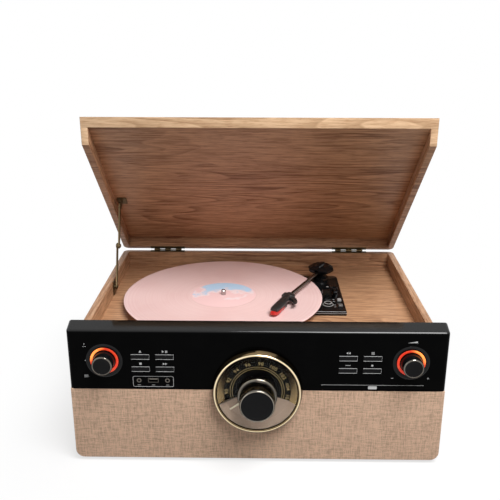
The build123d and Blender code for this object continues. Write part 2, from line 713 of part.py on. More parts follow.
def spindle():
    bottom = DECK_BOTTOM - BEARING_DROP + 3
    height = RECORD_TOP + SPINDLE_ABOVE_RECORD - bottom
    step = RECORD_TOP + SPINDLE_STEP_RISE - bottom
    outline = [
        (0, 0),
        (SPINDLE_SHAFT_RADIUS, 0),
        (SPINDLE_SHAFT_RADIUS, step),
        (SPINDLE_RADIUS, step),
        (SPINDLE_RADIUS, height - SPINDLE_POINT),
        (SPINDLE_RADIUS * 0.72, height - 0.4),
        (SPINDLE_RADIUS * 0.3, height),
        (0, height),
    ]
    return turned(outline, (SPINDLE_X, SPINDLE_Y, bottom), UP)


def platter_bearing():
    """A flanged sleeve through the deck, closed at the bottom."""
    at = (SPINDLE_X, SPINDLE_Y, DECK_BOTTOM - BEARING_DROP)
    sleeve = rod(BEARING_RADIUS, at, BOARD + BEARING_DROP, UP)
    sleeve += rod(BEARING_RADIUS + 3, (SPINDLE_X, SPINDLE_Y, DECK_TOP), PLATTER_GAP + 0.9, UP)
    bore = (SPINDLE_X, SPINDLE_Y, DECK_BOTTOM - BEARING_DROP + 3)
    return sleeve - rod(SPINDLE_SHAFT_RADIUS + RUNNING, bore, BOARD + BEARING_DROP + PLATTER_GAP, UP)


def drive_motor():
    x, y = pulley_spot()
    can = rod(MOTOR_RADIUS, (x, y, DECK_BOTTOM - MOTOR_HEIGHT), MOTOR_HEIGHT - 1.5, UP)
    ears = block((x - 24, x + 24), (y - 6, y + 6), (DECK_BOTTOM - 1.5, DECK_BOTTOM))
    can += rod(MOTOR_RADIUS, (x, y, DECK_BOTTOM - 1.5), 1.5, UP) + ears
    return can - rod(1.0 + RUNNING, (x, y, DECK_BOTTOM - 14), 14, UP)


def motor_pulley():
    """The two flanged pulley on its shaft, which runs down into the motor."""
    x, y = pulley_spot()
    low = PLATTER_BOTTOM + 0.6
    web = PLATTER_TOP - PLATTER_WEB
    pulley = rod(PULLEY_RADIUS, (x, y, low), web - low - FREE, UP)
    return pulley + rod(1.0, (x, y, DECK_BOTTOM - 13), low - DECK_BOTTOM + 13, UP)


def drive_belt():
    """A flat belt round the drive ring under the platter and the pulley."""
    x, y = pulley_spot()
    low = PLATTER_BOTTOM + 1.3

    def wrapped(extra):
        ring, small = DRIVE_RING_RADIUS + extra, PULLEY_RADIUS + extra
        lean = math.acos((ring - small) / PULLEY_REACH)
        toward = math.atan2(y - SPINDLE_Y, x - SPINDLE_X)
        sides = (toward + lean, toward - lean)
        span = [(SPINDLE_X + ring * math.cos(a), SPINDLE_Y + ring * math.sin(a)) for a in sides]
        span += [(x + small * math.cos(a), y + small * math.sin(a)) for a in reversed(sides)]
        body = plate(span, (low, low + BELT_WIDTH))
        body += rod(ring, (SPINDLE_X, SPINDLE_Y, low), BELT_WIDTH, UP)
        return body + rod(small, (x, y, low), BELT_WIDTH, UP)

    return wrapped(BELT_THICKNESS + FREE / 2) - wrapped(FREE / 2)


# ------------------------------------------------------------------------------------------ tonearm
def on_arm(piece, yaw=0.0, reach=0.0):
    """Puts a piece drawn along local X, from the pivot out, where the arm lies on the record."""
    place = Pos(PIVOT_X, PIVOT_Y, ARM_Z) * Rot(0, 0, ARM_HEADING)
    return place * Pos(reach, 0, 0) * Rot(0, 0, yaw) * Pos(-reach, 0, 0) * piece


def park_spot(reach):
    """The (x, y) on the arm's centre line at a distance from the pivot, with the arm parked."""
    angle = math.radians(ARM_HEADING + ARM_PARK_SWING)
    return PIVOT_X + reach * math.cos(angle), PIVOT_Y + reach * math.sin(angle)


def tonearm_base():
    """The glossy plate with the pillar, the arm rest, the lever ear and the switch slots."""
    base = block((BASE_LEFT, BASE_RIGHT), (BASE_FRONT, BASE_REAR), (DECK_TOP, BASE_TOP))
    uprights = base.edges().filter_by(Axis.Z).group_by(Axis.X)[-1]
    base = fillet(uprights.sort_by(Axis.Y)[-1], 8)
    base = fillet(base.edges().filter_by(Axis.Z).sort_by(lambda e: e.center().X - e.center().Y)[-1], 2)
    base += rod(PILLAR_RADIUS, (PIVOT_X, PIVOT_Y, BASE_TOP), PILLAR_HEIGHT, UP)
    rest_x, rest_y = park_spot(REST_REACH)
    half, depth = REST_WIDTH / 2, (rest_y - REST_LENGTH / 2, rest_y + REST_LENGTH / 2)
    base += block((rest_x - half, rest_x + half), depth, (BASE_TOP, ARM_Z - TUBE_RADIUS - FREE))
    stop = rest_x + TUBE_RADIUS + 2 * FREE
    base += block((stop, rest_x + half), depth, (BASE_TOP, ARM_Z + TUBE_RADIUS))
    boss_y = BASE_FRONT + BOSS_BEHIND_FRONT
    base += rod(8.0, (rest_x, boss_y, BASE_TOP), 1.5, UP)
    base += rod(6.0, (rest_x, boss_y, BASE_TOP), 4.5, UP)
    ear = CUE_PIVOT[0] + 3
    base += block((ear, ear + 3), (CUE_PIVOT[1] - 4, CUE_PIVOT[1] + 4), (BASE_TOP, BASE_TOP + 10.5))
    base += rod(CUE_PIN_RADIUS, (ear, CUE_PIVOT[1], CUE_Z), 6, LEFT)
    base -= rod(HUB_SHAFT_RADIUS + RUNNING, (PIVOT_X, PIVOT_Y, DECK_TOP), BASE_THICKNESS + PILLAR_HEIGHT, UP)
    for y in (SPEED_SWITCH_Y, STOP_SWITCH_Y):
        width = (SWITCH_X - SWITCH_STEM - FREE, SWITCH_X + SWITCH_STEM + FREE)
        length = (y - SWITCH_STEM - FREE, y + SWITCH_STEM + SWITCH_TRAVEL + FREE)
        base -= block(width, length, (DECK_TOP, BASE_TOP))
    return base


def octagon(radius, z):
    """An eight sided outline at a height, with a flat side to the front."""
    return Plane.XY.offset(z) * Rot(0, 0, 22.5) * RegularPolygon(radius, 8)


def arm_hub():
    """The turning head: shaft, neck and faceted cap, slotted for the tube and pinned across."""
    low = PILLAR_TOP + FREE
    hub = rod(HUB_SHAFT_RADIUS, (0, 0, DECK_TOP + FREE), low - DECK_TOP - FREE, UP)
    hub += rod(NECK_RADIUS, (0, 0, low), ARM_Z - low - 1.5, UP)
    hub += loft([octagon(HUB_RADIUS - 4, ARM_Z - 1.5), octagon(HUB_RADIUS, ARM_Z + 2)])
    hub += extrude(octagon(HUB_RADIUS, ARM_Z + 2), amount=2.5, dir=UP)
    hub += loft([octagon(HUB_RADIUS, ARM_Z + 4.5), octagon(HUB_TOP_RADIUS, ARM_Z + 10)])
    hub = Pos(PIVOT_X, PIVOT_Y, 0) * hub
    slot = block((-6, HUB_RADIUS + 2), (-LIFT_SLOT, LIFT_SLOT), (-TUBE_RADIUS - 1.5, TUBE_RADIUS + 3))
    pin = rod(LIFT_PIN_RADIUS, (0, -LIFT_SLOT - 1, 0), 2 * LIFT_SLOT + 2, BACK)
    return hub - on_arm(slot) + on_arm(pin)


def arm_tube():
    """The straight tube with the bored boss that tilts on the hub's pin."""
    body = rod(TUBE_RADIUS, (0, 0, 0), TUBE_LENGTH, RIGHT)
    body += rod(TUBE_BOSS_RADIUS, (0, -LIFT_SLOT + FREE, 0), 2 * (LIFT_SLOT - FREE), BACK)
    return on_arm(body - rod(LIFT_PIN_RADIUS + RUNNING, (0, -LIFT_SLOT, 0), 2 * LIFT_SLOT, BACK))


def headshell():
    """Collar, hood and side finger lift in one moulding."""
    half = COLLAR_WIDTH / 2
    end = COLLAR_START + COLLAR_LENGTH
    collar = block((COLLAR_START, end), (-half, half), (-SHELL_TOP, SHELL_TOP))
    collar = chamfer(collar.edges().filter_by(Axis.X), 1.5)
    half = HEADSHELL_WIDTH / 2
    nose = end + HEADSHELL_LENGTH - 4
    outline = [
        (end - 3, -half),
        (nose - 8, -half),
        (nose, -half + 3),
        (nose, half - 3),
        (nose - 8, half),
        (end - 3, half),
    ]
    hood = plate(outline, (SHELL_BOTTOM, SHELL_TOP))
    lift = [(end - 2, half - 1), (end - 4, half + 11), (end + 12, half + 13), (end + 12, half + 10)]
    lift += [(end + 1, half + 8.5), (end + 3, half - 1)]
    bore = rod(TUBE_RADIUS + RUNNING, (COLLAR_START - 2, 0, 0), TUBE_LENGTH - COLLAR_START + 2 + FREE, RIGHT)
    shell = collar + hood + plate(lift, (SHELL_BOTTOM, SHELL_BOTTOM + 2))
    return on_arm(shell, HEADSHELL_YAW, COLLAR_START) - on_arm(bore)


def stylus_reach():
    """Where the red stylus holder starts, from the pivot."""
    return COLLAR_START + COLLAR_LENGTH + HEADSHELL_LENGTH + 1 - STYLUS_LENGTH


def cartridge():
    start = COLLAR_START + COLLAR_LENGTH + CARTRIDGE_GAP
    half = CARTRIDGE_WIDTH / 2
    body = block((start, stylus_reach()), (-half, half), (SHELL_BOTTOM - CARTRIDGE_HEIGHT, SHELL_BOTTOM))
    return on_arm(body, HEADSHELL_YAW, COLLAR_START)


def stylus():
    """The replaceable holder in front of the cartridge, with its tip just over the groove."""
    start = stylus_reach()
    end = start + STYLUS_LENGTH
    under = SHELL_BOTTOM - CARTRIDGE_HEIGHT
    outline = [
        (start, SHELL_BOTTOM),
        (start, under),
        (end - 4, under),
        (end, (under + SHELL_BOTTOM) / 2),
        (end - 6, SHELL_BOTTOM),
    ]
    side = Plane.XZ.offset(-STYLUS_WIDTH / 2) * Polygon(*outline, align=None)
    holder = extrude(side, amount=STYLUS_WIDTH, dir=FRONT)
    tip = -ARM_ABOVE_RECORD + STYLUS_ABOVE_RECORD
    needle = rod(NEEDLE_RADIUS, (end - NEEDLE_SETBACK, 0, tip), under - tip + 0.4, UP)
    return on_arm(holder + needle, HEADSHELL_YAW, COLLAR_START)


def cue_lever():
    """The lift lever, lying forward with the arm down."""
    x, y = CUE_PIVOT
    lever = rod(4.0, (x - 2.5, y, CUE_Z), 5, RIGHT)
    blade = [(y, CUE_Z - 2), (y - 22, CUE_Z + 2), (y - 22, CUE_Z + 4.5), (y, CUE_Z + 2.5)]
    lever += slab(blade, (x - 2, x + 2))
    lever += rod(3.0, (x - 2.5, y - 22, CUE_Z + 3.2), 5, RIGHT)
    return lever - rod(CUE_PIN_RADIUS + RUNNING, (x - 3, y, CUE_Z), 6, RIGHT)


def slide_switch(y):
    """A small slide switch cap with its stem in the slot of the plate."""
    stem = (SWITCH_X - SWITCH_STEM, SWITCH_X + SWITCH_STEM)
    cap = block(stem, (y - SWITCH_STEM, y + SWITCH_STEM), (DECK_TOP + FREE, BASE_TOP + FREE))
    top = block((SWITCH_X - 3, SWITCH_X + 3), (y - 3.5, y + 3.5), (BASE_TOP + FREE, BASE_TOP + 3.5))
    return cap + chamfer(top.edges().group_by(Axis.Z)[-1], 0.6)


# ------------------------------------------------------------------------------------------ radio dial
def dial_rim():
    """The outer ring and the cone that leads in from its lip to the scale."""
    outline = [
        (DIAL_INNER_RADIUS, 0),
        (DIAL_RADIUS, 0),
        (DIAL_RADIUS - 0.3, 4),
        (DIAL_FRONT_RADIUS + 0.8, DIAL_DEPTH - 1.5),
        (DIAL_FRONT_RADIUS - 0.4, DIAL_DEPTH),
        (DIAL_INNER_RADIUS + 1.7, DIAL_DEPTH),
        (DIAL_INNER_RADIUS, DIAL_DEPTH - DIAL_LIP),
        (SCALE_RADIUS, DIAL_FACE + FREE),
        (DIAL_INNER_RADIUS, DIAL_FACE + FREE),
    ]
    return turned(outline, (0, 0, DIAL_Z), FRONT)


def dial_face():
    return tube(DIAL_INNER_RADIUS - FREE, SHAFT_RADIUS + FREE, (0, 0, DIAL_Z), DIAL_FACE, FRONT)


def dial_lens():
    at = (0, DIAL_LIP - DIAL_DEPTH, DIAL_Z)
    return tube(DIAL_INNER_RADIUS - RUNNING, TUNING_COLLAR_RADIUS + 2 * FREE, at, LENS_THICKNESS, FRONT)


def tuning_knob():
    collar, cap = TUNING_COLLAR_RADIUS, TUNING_CAP_RADIUS
    foot = DIAL_FACE + 1.5
    outline = [
        (0, -TUNING_SHAFT),
        (SHAFT_RADIUS, -TUNING_SHAFT),
        (SHAFT_RADIUS, foot),
        (collar - 1, foot),
        (collar, foot + 1),
        (collar, TUNING_COLLAR_DEPTH - 1.5),
        (collar - 1.2, TUNING_COLLAR_DEPTH),
        (cap + 1.3, TUNING_COLLAR_DEPTH + 0.6),
        (cap + 0.5, TUNING_REACH - 2),
        (cap, TUNING_REACH),
        (cap - 1, TUNING_REACH),
        (cap - 1.4, TUNING_REACH - 0.6),
        (0, TUNING_REACH - 0.6),
    ]
    return turned(outline, (0, 0, DIAL_Z), FRONT)


def tuning_pointer():
    """The pale needle that stands out from the tuning knob's collar over the scale."""
    inner = TUNING_COLLAR_RADIUS + RUNNING
    outer = inner + POINTER_LENGTH
    taper = Polygon((inner - 3, -1.3), (outer, -0.7), (outer, 0.7), (inner - 3, 1.3), align=None)
    bar = extrude(taper, amount=1.2)
    bar -= Cylinder(inner, 10)
    depth = DIAL_FACE + 2.6
    return Plane(origin=(0, -depth, DIAL_Z), x_dir=RIGHT, z_dir=FRONT) * Rot(0, 0, POINTER_ANGLE) * bar


def small_knob(x):
    reach = CONTROL_BOARD_Y - 3
    outline = [
        (0, -reach),
        (SHAFT_RADIUS, -reach),
        (SHAFT_RADIUS, 0.8),
        (KNOB_RADIUS, 0.8),
        (KNOB_RADIUS - 0.6, KNOB_DEPTH - 1),
        (KNOB_RADIUS - 1.4, KNOB_DEPTH),
        (0, KNOB_DEPTH),
    ]
    return turned(outline, (x, 0, BEZEL_FOOT + KNOB_Z), FRONT)


def knob_rings(outer, inner, height):
    return [tube(outer, inner, (x, 0, BEZEL_FOOT + KNOB_Z), height, FRONT) for x in (-KNOB_X, KNOB_X)]


# ------------------------------------------------------------------------------------------ front controls
def button(x, z):
    """A bar button: cap, retaining flange behind the bezel wall and plunger."""
    across, high = BUTTON_WIDTH / 2, BUTTON_HEIGHT / 2
    behind = BEZEL_WALL + FREE
    cap = block((x - across, x + across), (-BUTTON_PROUD, behind), (z - high, z + high))
    cap = chamfer(cap.faces().sort_by(Axis.Y)[0].edges(), 0.4)
    cap += block((x - across - 1.2, x + across + 1.2), (behind, behind + 1), (z - high - 1.2, z + high + 1.2))
    return cap + block((x - 2, x + 2), (behind, SWITCH_FRONT - BUTTON_TRAVEL - FREE), (z - 1.5, z + 1.5))


def control_boards():
    """Left and right boards with switches and rotary controls, and the tuning control."""
    solids = []
    low, high = BEZEL_FOOT + BOARD_LOW, BEZEL_FOOT + BOARD_HIGH
    for side in (-1, 1):
        ends = sorted((side * (KNOB_X - BOARD_INWARD), side * (KNOB_X + BOARD_OUTWARD)))
        board = block(ends, (CONTROL_BOARD_Y, CONTROL_BOARD_Y + CIRCUIT_BOARD), (low, high))
        for x, z in button_spots().values():
            if x * side > 0:
                board += block((x - 3, x + 3), (SWITCH_FRONT, CONTROL_BOARD_Y), (z - 3, z + 3))
        x, z = side * KNOB_X, BEZEL_FOOT + KNOB_Z
        across, high_part = (x - CONTROL_HALF, x + CONTROL_HALF), (z - CONTROL_HALF, z + CONTROL_HALF)
        board += block(across, (BEZEL_WALL + FREE, CONTROL_BOARD_Y), high_part)
        board -= rod(SHAFT_RADIUS + RUNNING, (x, 0, z), CONTROL_BOARD_Y - 2, BACK)
        solids.append(board)
    body = rod(DIAL_POCKET_RADIUS - 1, (0, FREE, DIAL_Z), TUNER_DEPTH, BACK)
    body += rod(DIAL_POCKET_RADIUS - RUNNING, (0, FREE, DIAL_Z), TUNER_FLANGE, BACK)
    solids.append(body - rod(SHAFT_RADIUS + RUNNING, (0, 0, DIAL_Z), TUNING_SHAFT + 1, BACK))
    return solids


def socket_spots():
    """The (x, z) of the left jack, the USB socket and the right jack."""
    z = BEZEL_FOOT + SOCKET_Z
    return [(SOCKET_X - JACK_SPACING / 2, z), (SOCKET_X, z), (SOCKET_X + JACK_SPACING / 2, z)]


def socket_panel():
    across = SOCKET_PANEL_WIDTH / 2
    low = BEZEL_FOOT + SOCKET_PANEL_Z - SOCKET_PANEL_HEIGHT / 2
    panel = block((SOCKET_X - across, SOCKET_X + across), (0.4, BEZEL_WALL), (low, low + SOCKET_PANEL_HEIGHT))
    left, usb, right = socket_spots()
    for x, z in (left, right):
        panel -= rod(JACK_RADIUS + 1.2 + RUNNING, (x, 0, z), BEZEL_WALL, BACK)
    across, high = USB_WIDTH / 2 + RUNNING, USB_HEIGHT / 2 + RUNNING
    return panel - block((usb[0] - across, usb[0] + across), (0, BEZEL_WALL), (usb[1] - high, usb[1] + high))


def front_sockets():
    """Two round jacks and a flat USB socket behind the socket panel."""
    left, usb, right = socket_spots()
    sockets = []
    for x, z in (left, right):
        jack = rod(JACK_RADIUS + 1.2, (x, 0.2, z), JACK_LENGTH + 2, BACK)
        jack += block((x - 4, x + 4), (BEZEL_WALL, JACK_LENGTH + 2), (z - 4, z + 4))
        sockets.append(jack - rod(JACK_RADIUS, (x, 0.2, z), JACK_LENGTH, BACK))
    x, z = usb
    across, high, wall = USB_WIDTH / 2, USB_HEIGHT / 2, 0.5
    shell = block((x - across, x + across), (0.5, 15), (z - high, z + high))
    shell -= block((x - across + wall, x + across - wall), (0.5, 14), (z - high + wall, z + high - wall))
    tongue = block((x - across + 1.5, x + across - 1.5), (2, 14), (z + 0.2, z + high - wall - 0.2))
    sockets.append(shell + tongue)
    return sockets


def cd_tray():
    """The drawer: a front bar, a bed with the disc recess and an opening for the disc drive."""
    across = TRAY_WIDTH / 2
    tray = block((TRAY_X - across, TRAY_X + across), (0, BEZEL_WALL), (TRAY_BOTTOM, TRAY_TOP))
    bed = (TRAY_BOTTOM, TRAY_TOP - 1)
    tray += block((TRAY_X - across, TRAY_X + across), (BEZEL_WALL, TRAY_LENGTH), bed)
    middle = tray_disc_y()
    tray -= rod(DISC_RADIUS, (TRAY_X, middle, bed[1] - DISC_RECESS), DISC_RECESS, UP)
    tray -= block((TRAY_X - 16, TRAY_X + 16), (middle - 16, TRAY_LENGTH), bed)
    return tray


def tray_disc_y():
    """How far behind the front face the middle of the disc recess lies."""
    return BEZEL_WALL + 12 + DISC_RADIUS


def cd_mechanism():
    """The drawer's channel, hung from the deck by four posts, and the drive unit under it."""
    across = TRAY_WIDTH / 2 + FREE
    sides = (TRAY_X - across - 3, TRAY_X + across + 3)
    low, high = TRAY_BOTTOM - FREE - 3, TRAY_TOP + 3.5
    run = (FRONT_DEPTH + 1, FRONT_DEPTH + 1 + TRAY_LENGTH)
    channel = block(sides, run, (low, high))
    channel -= block((TRAY_X - across, TRAY_X + across), run, (TRAY_BOTTOM - FREE, high - 2))
    middle = tray_disc_y()
    channel -= block((TRAY_X - 20, TRAY_X + 20), (middle - 20, middle + 60), (low, TRAY_BOTTOM))
    for x in (sides[0] + 6, sides[1] - 6):
        for y in (run[0] + 20, run[1] - 8):
            channel += rod(4.0, (x, y, high), DECK_BOTTOM - high, UP)
    unit = block((TRAY_X - 30, TRAY_X + 30), (middle - 26, middle + 66), (low - 12, low))
    unit += rod(13.0, (TRAY_X, middle, low), TRAY_BOTTOM - FREE - low, UP)
    return [channel, unit]


# ------------------------------------------------------------------------------------------ electronics
def speakers():
    """Two drivers behind the baffle: frame with magnet, and cone."""
    solids = []
    radius, hole = SPEAKER_RADIUS, SPEAKER_HOLE_RADIUS
    for x in (-SPEAKER_X, SPEAKER_X):
        frame = [
            (hole - 1, 0),
            (radius, 0),
            (radius, SPEAKER_FLANGE),
            (hole, SPEAKER_FLANGE + 0.5),
            (MAGNET_RADIUS, BASKET_DEPTH),
            (MAGNET_RADIUS, SPEAKER_DEPTH),
            (0, SPEAKER_DEPTH),
            (0, BASKET_DEPTH + 2),
            (MAGNET_RADIUS - 3, BASKET_DEPTH - 1),
        ]
        edge, cap = hole - 1 - RUNNING, CONE_DEPTH - 3
        cone = [
            (edge, FREE),
            (DUST_CAP_RADIUS, CONE_DEPTH),
            (0, cap),
            (0, cap + CONE_THICKNESS),
            (DUST_CAP_RADIUS, CONE_DEPTH + CONE_THICKNESS),
            (edge, FREE + CONE_THICKNESS + FREE),
        ]
        at = (x, FRONT_DEPTH, SPEAKER_Z)
        solids += [turned(frame, at, BACK), turned(cone, at, BACK)]
    return solids


def main_board():
    """The amplifier and radio board on its four standoffs, with its heatsink, capacitors and transformer."""
    across, deep = MAIN_BOARD_WIDTH / 2, MAIN_BOARD_DEPTH / 2
    low = FLOOR_TOP + STANDOFF
    top = low + CIRCUIT_BOARD
    board = block((-across, across), (MAIN_BOARD_Y - deep, MAIN_BOARD_Y + deep), (low, top))
    inset = STANDOFF_INSET
    for x in (-across + inset, across - inset):
        for y in (MAIN_BOARD_Y - deep + inset, MAIN_BOARD_Y + deep - inset):
            board += rod(STANDOFF_RADIUS, (x, y, FLOOR_TOP), STANDOFF, UP)
    left, front = -across + BOARD_EDGE, MAIN_BOARD_Y + 2 * BOARD_EDGE
    long, deep_part, tall = HEATSINK
    board += block((left, left + long), (front, front + deep_part), (top, top + tall))
    right = across - BOARD_EDGE
    long, deep_part, tall = TRANSFORMER
    board += block((right - long, right), (MAIN_BOARD_Y, MAIN_BOARD_Y + deep_part), (top, top + tall))
    for step in range(3):
        at = (CAPACITOR_PITCH * (step - 1), MAIN_BOARD_Y - deep / 2, top)
        board += rod(CAPACITOR_RADIUS, at, CAPACITOR_HEIGHT, UP)
    return board


def terminal_plate():
    """The rear plate with two line sockets and the mains inlet, inside the window of the rear board."""
    across, high = TERMINAL_WIDTH / 2, TERMINAL_HEIGHT / 2
    back = INNER_REAR
    depth = (back - TERMINAL_PLATE, back)
    terminals = block((-across, across), depth, (TERMINAL_Z - high, TERMINAL_Z + high))
    for x, z in terminal_screw_spots():
        terminals -= rod(SCREW_RADIUS + RUNNING, (x, depth[0], z), TERMINAL_PLATE, BACK)
    for x in (-34, -14):
        terminals += rod(PHONO_RADIUS, (x, back, TERMINAL_Z), PHONO_LENGTH, BACK)
        terminals -= rod(1.6, (x, back + PHONO_LENGTH - 6, TERMINAL_Z), 6, BACK)
    inlet = block((16, 42), (back, back + 6), (TERMINAL_Z - 8, TERMINAL_Z + 8))
    inlet -= block((20, 38), (back, back + 6), (TERMINAL_Z - 4.5, TERMINAL_Z + 4.5))
    for x in (25, 33):
        inlet += rod(1.2, (x, back, TERMINAL_Z), 4, BACK)
    return terminals + inlet


# ------------------------------------------------------------------------------------------ the whole part
def pieces():
    """Every sub-part's name with its solid, or its list of solids."""
    made = {
        "base_board": base_board(),
        "side_boards": side_boards(),
        "rear_board": rear_board(),
        "deck_board": deck_board(),
        "front_rail": front_rail(),
        "front_baffle": front_baffle(),
        "grille_cloth": grille_cloth(),
        "front_bezel": front_bezel(),
        "rubber_feet": rubber_feet(),
        "fixing_screws": fixing_screws(),
        "lid_panel": lid_panel(),
        "lid_rails": lid_rails(),
        "hinge_cabinet_leaves": hinge_cabinet_leaves(),
        "hinge_lid_leaves": hinge_lid_leaves(),
        "stay_wall_bracket": stay_wall_bracket(),
        "stay_lower_arm": stay_lower_arm(),
        "stay_upper_arm": stay_upper_arm(),
        "stay_lid_bracket": stay_lid_bracket(),
        "platter": platter(),
        "slip_mat": slip_mat(),
        "record": record(),
        "spindle": spindle(),
        "platter_bearing": platter_bearing(),
        "drive_motor": drive_motor(),
        "motor_pulley": motor_pulley(),
        "drive_belt": drive_belt(),
        "tonearm_base": tonearm_base(),
        "arm_hub": arm_hub(),
        "arm_tube": arm_tube(),
        "headshell": headshell(),
        "cartridge": cartridge(),
        "stylus": stylus(),
        "cue_lever": cue_lever(),
        "speed_switch": slide_switch(SPEED_SWITCH_Y),
        "auto_stop_switch": slide_switch(STOP_SWITCH_Y),
        "dial_rim": dial_rim(),
        "dial_face": dial_face(),
        "dial_lens": dial_lens(),
        "tuning_knob": tuning_knob(),
        "tuning_pointer": tuning_pointer(),
        "source_knob": small_knob(-KNOB_X),
        "volume_knob": small_knob(KNOB_X),
        "trim_rings": knob_rings(TRIM_RADIUS, LIGHT_OUTER_RADIUS + RUNNING, TRIM_HEIGHT),
        "light_rings": knob_rings(LIGHT_OUTER_RADIUS, LIGHT_INNER_RADIUS, TRIM_HEIGHT - FREE),
        "cd_tray": cd_tray(),
        "cd_mechanism": cd_mechanism(),
        "socket_panel": socket_panel(),
        "front_sockets": front_sockets(),
        "control_boards": control_boards(),
        "speakers": speakers(),
        "main_board": main_board(),
        "terminal_plate": terminal_plate(),
    }
    for name, (x, z) in button_spots().items():
        made[name] = button(x, z)
    return made


def save(name, shape):
    """Writes one sub-part, moved to the part's own origin."""
    shapes = shape if isinstance(shape, list) else [shape]
    solids = [Pos(0, Y_SHIFT, 0) * solid for one in shapes for solid in one.solids()]
    whole = solids[0] if len(solids) == 1 else Compound(children=solids)
    export_step(whole, f"parts/{name}.step")


if __name__ == "__main__":
    os.makedirs("parts", exist_ok=True)
    for piece_name, piece_shape in pieces().items():
        save(piece_name, piece_shape)
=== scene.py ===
"""Looks of the stereo music centre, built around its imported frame.

Lengths inside the classes are in millimetres of the cabinet: x from the middle to the right, y back from the
front face and z up from the floor. spot() and its users turn them into metres of the frame.
"""

import json
import logging
import math
from collections.abc import Callable, Iterable, Sequence
from dataclasses import dataclass, field
from enum import Enum
from functools import cache

import bmesh
import bpy
from mathutils import Matrix, Vector

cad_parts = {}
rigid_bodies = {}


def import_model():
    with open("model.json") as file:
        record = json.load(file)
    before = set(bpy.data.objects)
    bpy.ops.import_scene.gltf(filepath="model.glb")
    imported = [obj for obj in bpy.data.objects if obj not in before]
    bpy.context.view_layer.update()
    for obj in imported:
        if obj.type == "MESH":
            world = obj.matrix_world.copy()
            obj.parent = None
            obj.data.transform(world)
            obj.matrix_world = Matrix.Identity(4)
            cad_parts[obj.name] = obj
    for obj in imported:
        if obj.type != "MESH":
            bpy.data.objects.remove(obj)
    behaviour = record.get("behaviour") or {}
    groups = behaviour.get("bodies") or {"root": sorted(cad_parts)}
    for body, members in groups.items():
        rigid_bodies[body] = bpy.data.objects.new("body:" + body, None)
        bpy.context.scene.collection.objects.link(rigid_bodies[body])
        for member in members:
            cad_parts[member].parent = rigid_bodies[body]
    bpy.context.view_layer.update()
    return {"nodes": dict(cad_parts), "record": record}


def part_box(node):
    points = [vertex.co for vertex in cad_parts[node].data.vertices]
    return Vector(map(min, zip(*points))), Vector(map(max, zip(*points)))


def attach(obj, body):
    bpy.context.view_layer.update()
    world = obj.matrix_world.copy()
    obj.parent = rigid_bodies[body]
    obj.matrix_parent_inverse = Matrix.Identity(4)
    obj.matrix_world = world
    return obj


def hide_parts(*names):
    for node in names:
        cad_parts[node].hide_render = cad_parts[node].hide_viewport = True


for leftover in list(bpy.data.objects):
    bpy.data.objects.remove(leftover)
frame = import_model()

LOG = logging.getLogger("music_centre")
MM = 0.001
FRONT_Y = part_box("front_bezel")[0].y

# A lathed point nearer to the axis than this lies on it, in millimetres
ON_AXIS = 1e-4
# Corners nearer than this are one corner, in metres
WELD = 2e-6
# Edges that turn by less than the first of these lie in a flat face, and by more than the second are broken
FLAT_TURN, BROKEN_TURN = math.radians(0.8), math.radians(40)

Point = tuple[float, float, float]
Flat = tuple[float, float]
Colour = tuple[float, float, float]
Profile = Sequence[Flat]
Socket = bpy.types.NodeSocket

DUST_GREY: Colour = (0.42, 0.39, 0.36)


class Way(Enum):
    """Directions that lathed forms grow along."""

    RIGHT = (1.0, 0.0, 0.0)
    FRONT = (0.0, -1.0, 0.0)
    UP = (0.0, 0.0, 1.0)


class Axis(Enum):
    """Axes that a flat board's thickness lies along."""

    Y = "Y"
    Z = "Z"


class Grain(Enum):
    """Which way the wood figure runs, as the squeeze of the pattern on each axis."""

    ALONG_X = (1.0, 8.0, 8.0)
    ALONG_Y = (8.0, 1.0, 8.0)


# ----------------------------------------------------------------------- places taken from the frame
def spot(x: float, y: float, z: float) -> Vector:
    """Turns cabinet millimetres into a point of the frame in metres."""
    return Vector((x * MM, FRONT_Y + y * MM, z * MM))


def in_cabinet(point: Sequence[float]) -> Point:
    """Turns a point of the frame in metres into cabinet millimetres."""
    return point[0] / MM, (point[1] - FRONT_Y) / MM, point[2] / MM


def middle_of(node: str) -> Point:
    """Returns the middle of a frame node's box in cabinet millimetres."""
    low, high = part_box(node)
    return in_cabinet((low + high) / 2)


def joint_of(name: str) -> dict:
    """Returns a joint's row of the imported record."""
    return next(row for row in frame["record"]["behaviour"]["joints"] if row["name"] == name)


def pin_of(name: str) -> Point:
    """Returns the point that a joint turns about in cabinet millimetres."""
    return in_cabinet(joint_of(name)["pos_m"])


# ---------------------------------------------------------------------------------------- mesh forms
def as_piece(name: str, form: bmesh.types.BMesh, sharp: float = 35.0) -> bpy.types.Object:
    """Turns a finished bmesh into a smooth shaded object.

    Args:
        name: The piece's name.
        form: The mesh, which is freed.
        sharp: Edges that turn by more degrees than this stay crisp.

    Returns:
        The new object, linked to the scene.
    """
    bmesh.ops.recalc_face_normals(form, faces=form.faces)
    mesh = bpy.data.meshes.new(name)
    form.to_mesh(mesh)
    form.free()
    mesh.shade_smooth()
    mesh.set_sharp_from_angle(angle=math.radians(sharp))
    piece = bpy.data.objects.new(name, mesh)
    bpy.context.scene.collection.objects.link(piece)
    return piece


def softened(outline: Profile, radius: float, closed: bool = False) -> list[Flat]:
    """Rounds the corners of an outline.

    Args:
        outline: The corner points in order.
        radius: How far from each corner the rounding starts.
        closed: Whether the last point joins the first.

    Returns:
        The outline with three points in place of each rounded corner.
    """
    points = [Vector(point) for point in outline]
    result: list[Flat] = []
    for index, corner in enumerate(points):
        if not closed and index in (0, len(points) - 1):
            result.append(tuple(corner))
            continue
        before, after = points[index - 1], points[(index + 1) % len(points)]
        back, ahead = before - corner, after - corner
        start = corner + back.normalized() * min(radius, back.length * 0.45)
        end = corner + ahead.normalized() * min(radius, ahead.length * 0.45)
        result += [tuple(start), tuple((start + end + 2 * corner) / 4), tuple(end)]
    return result


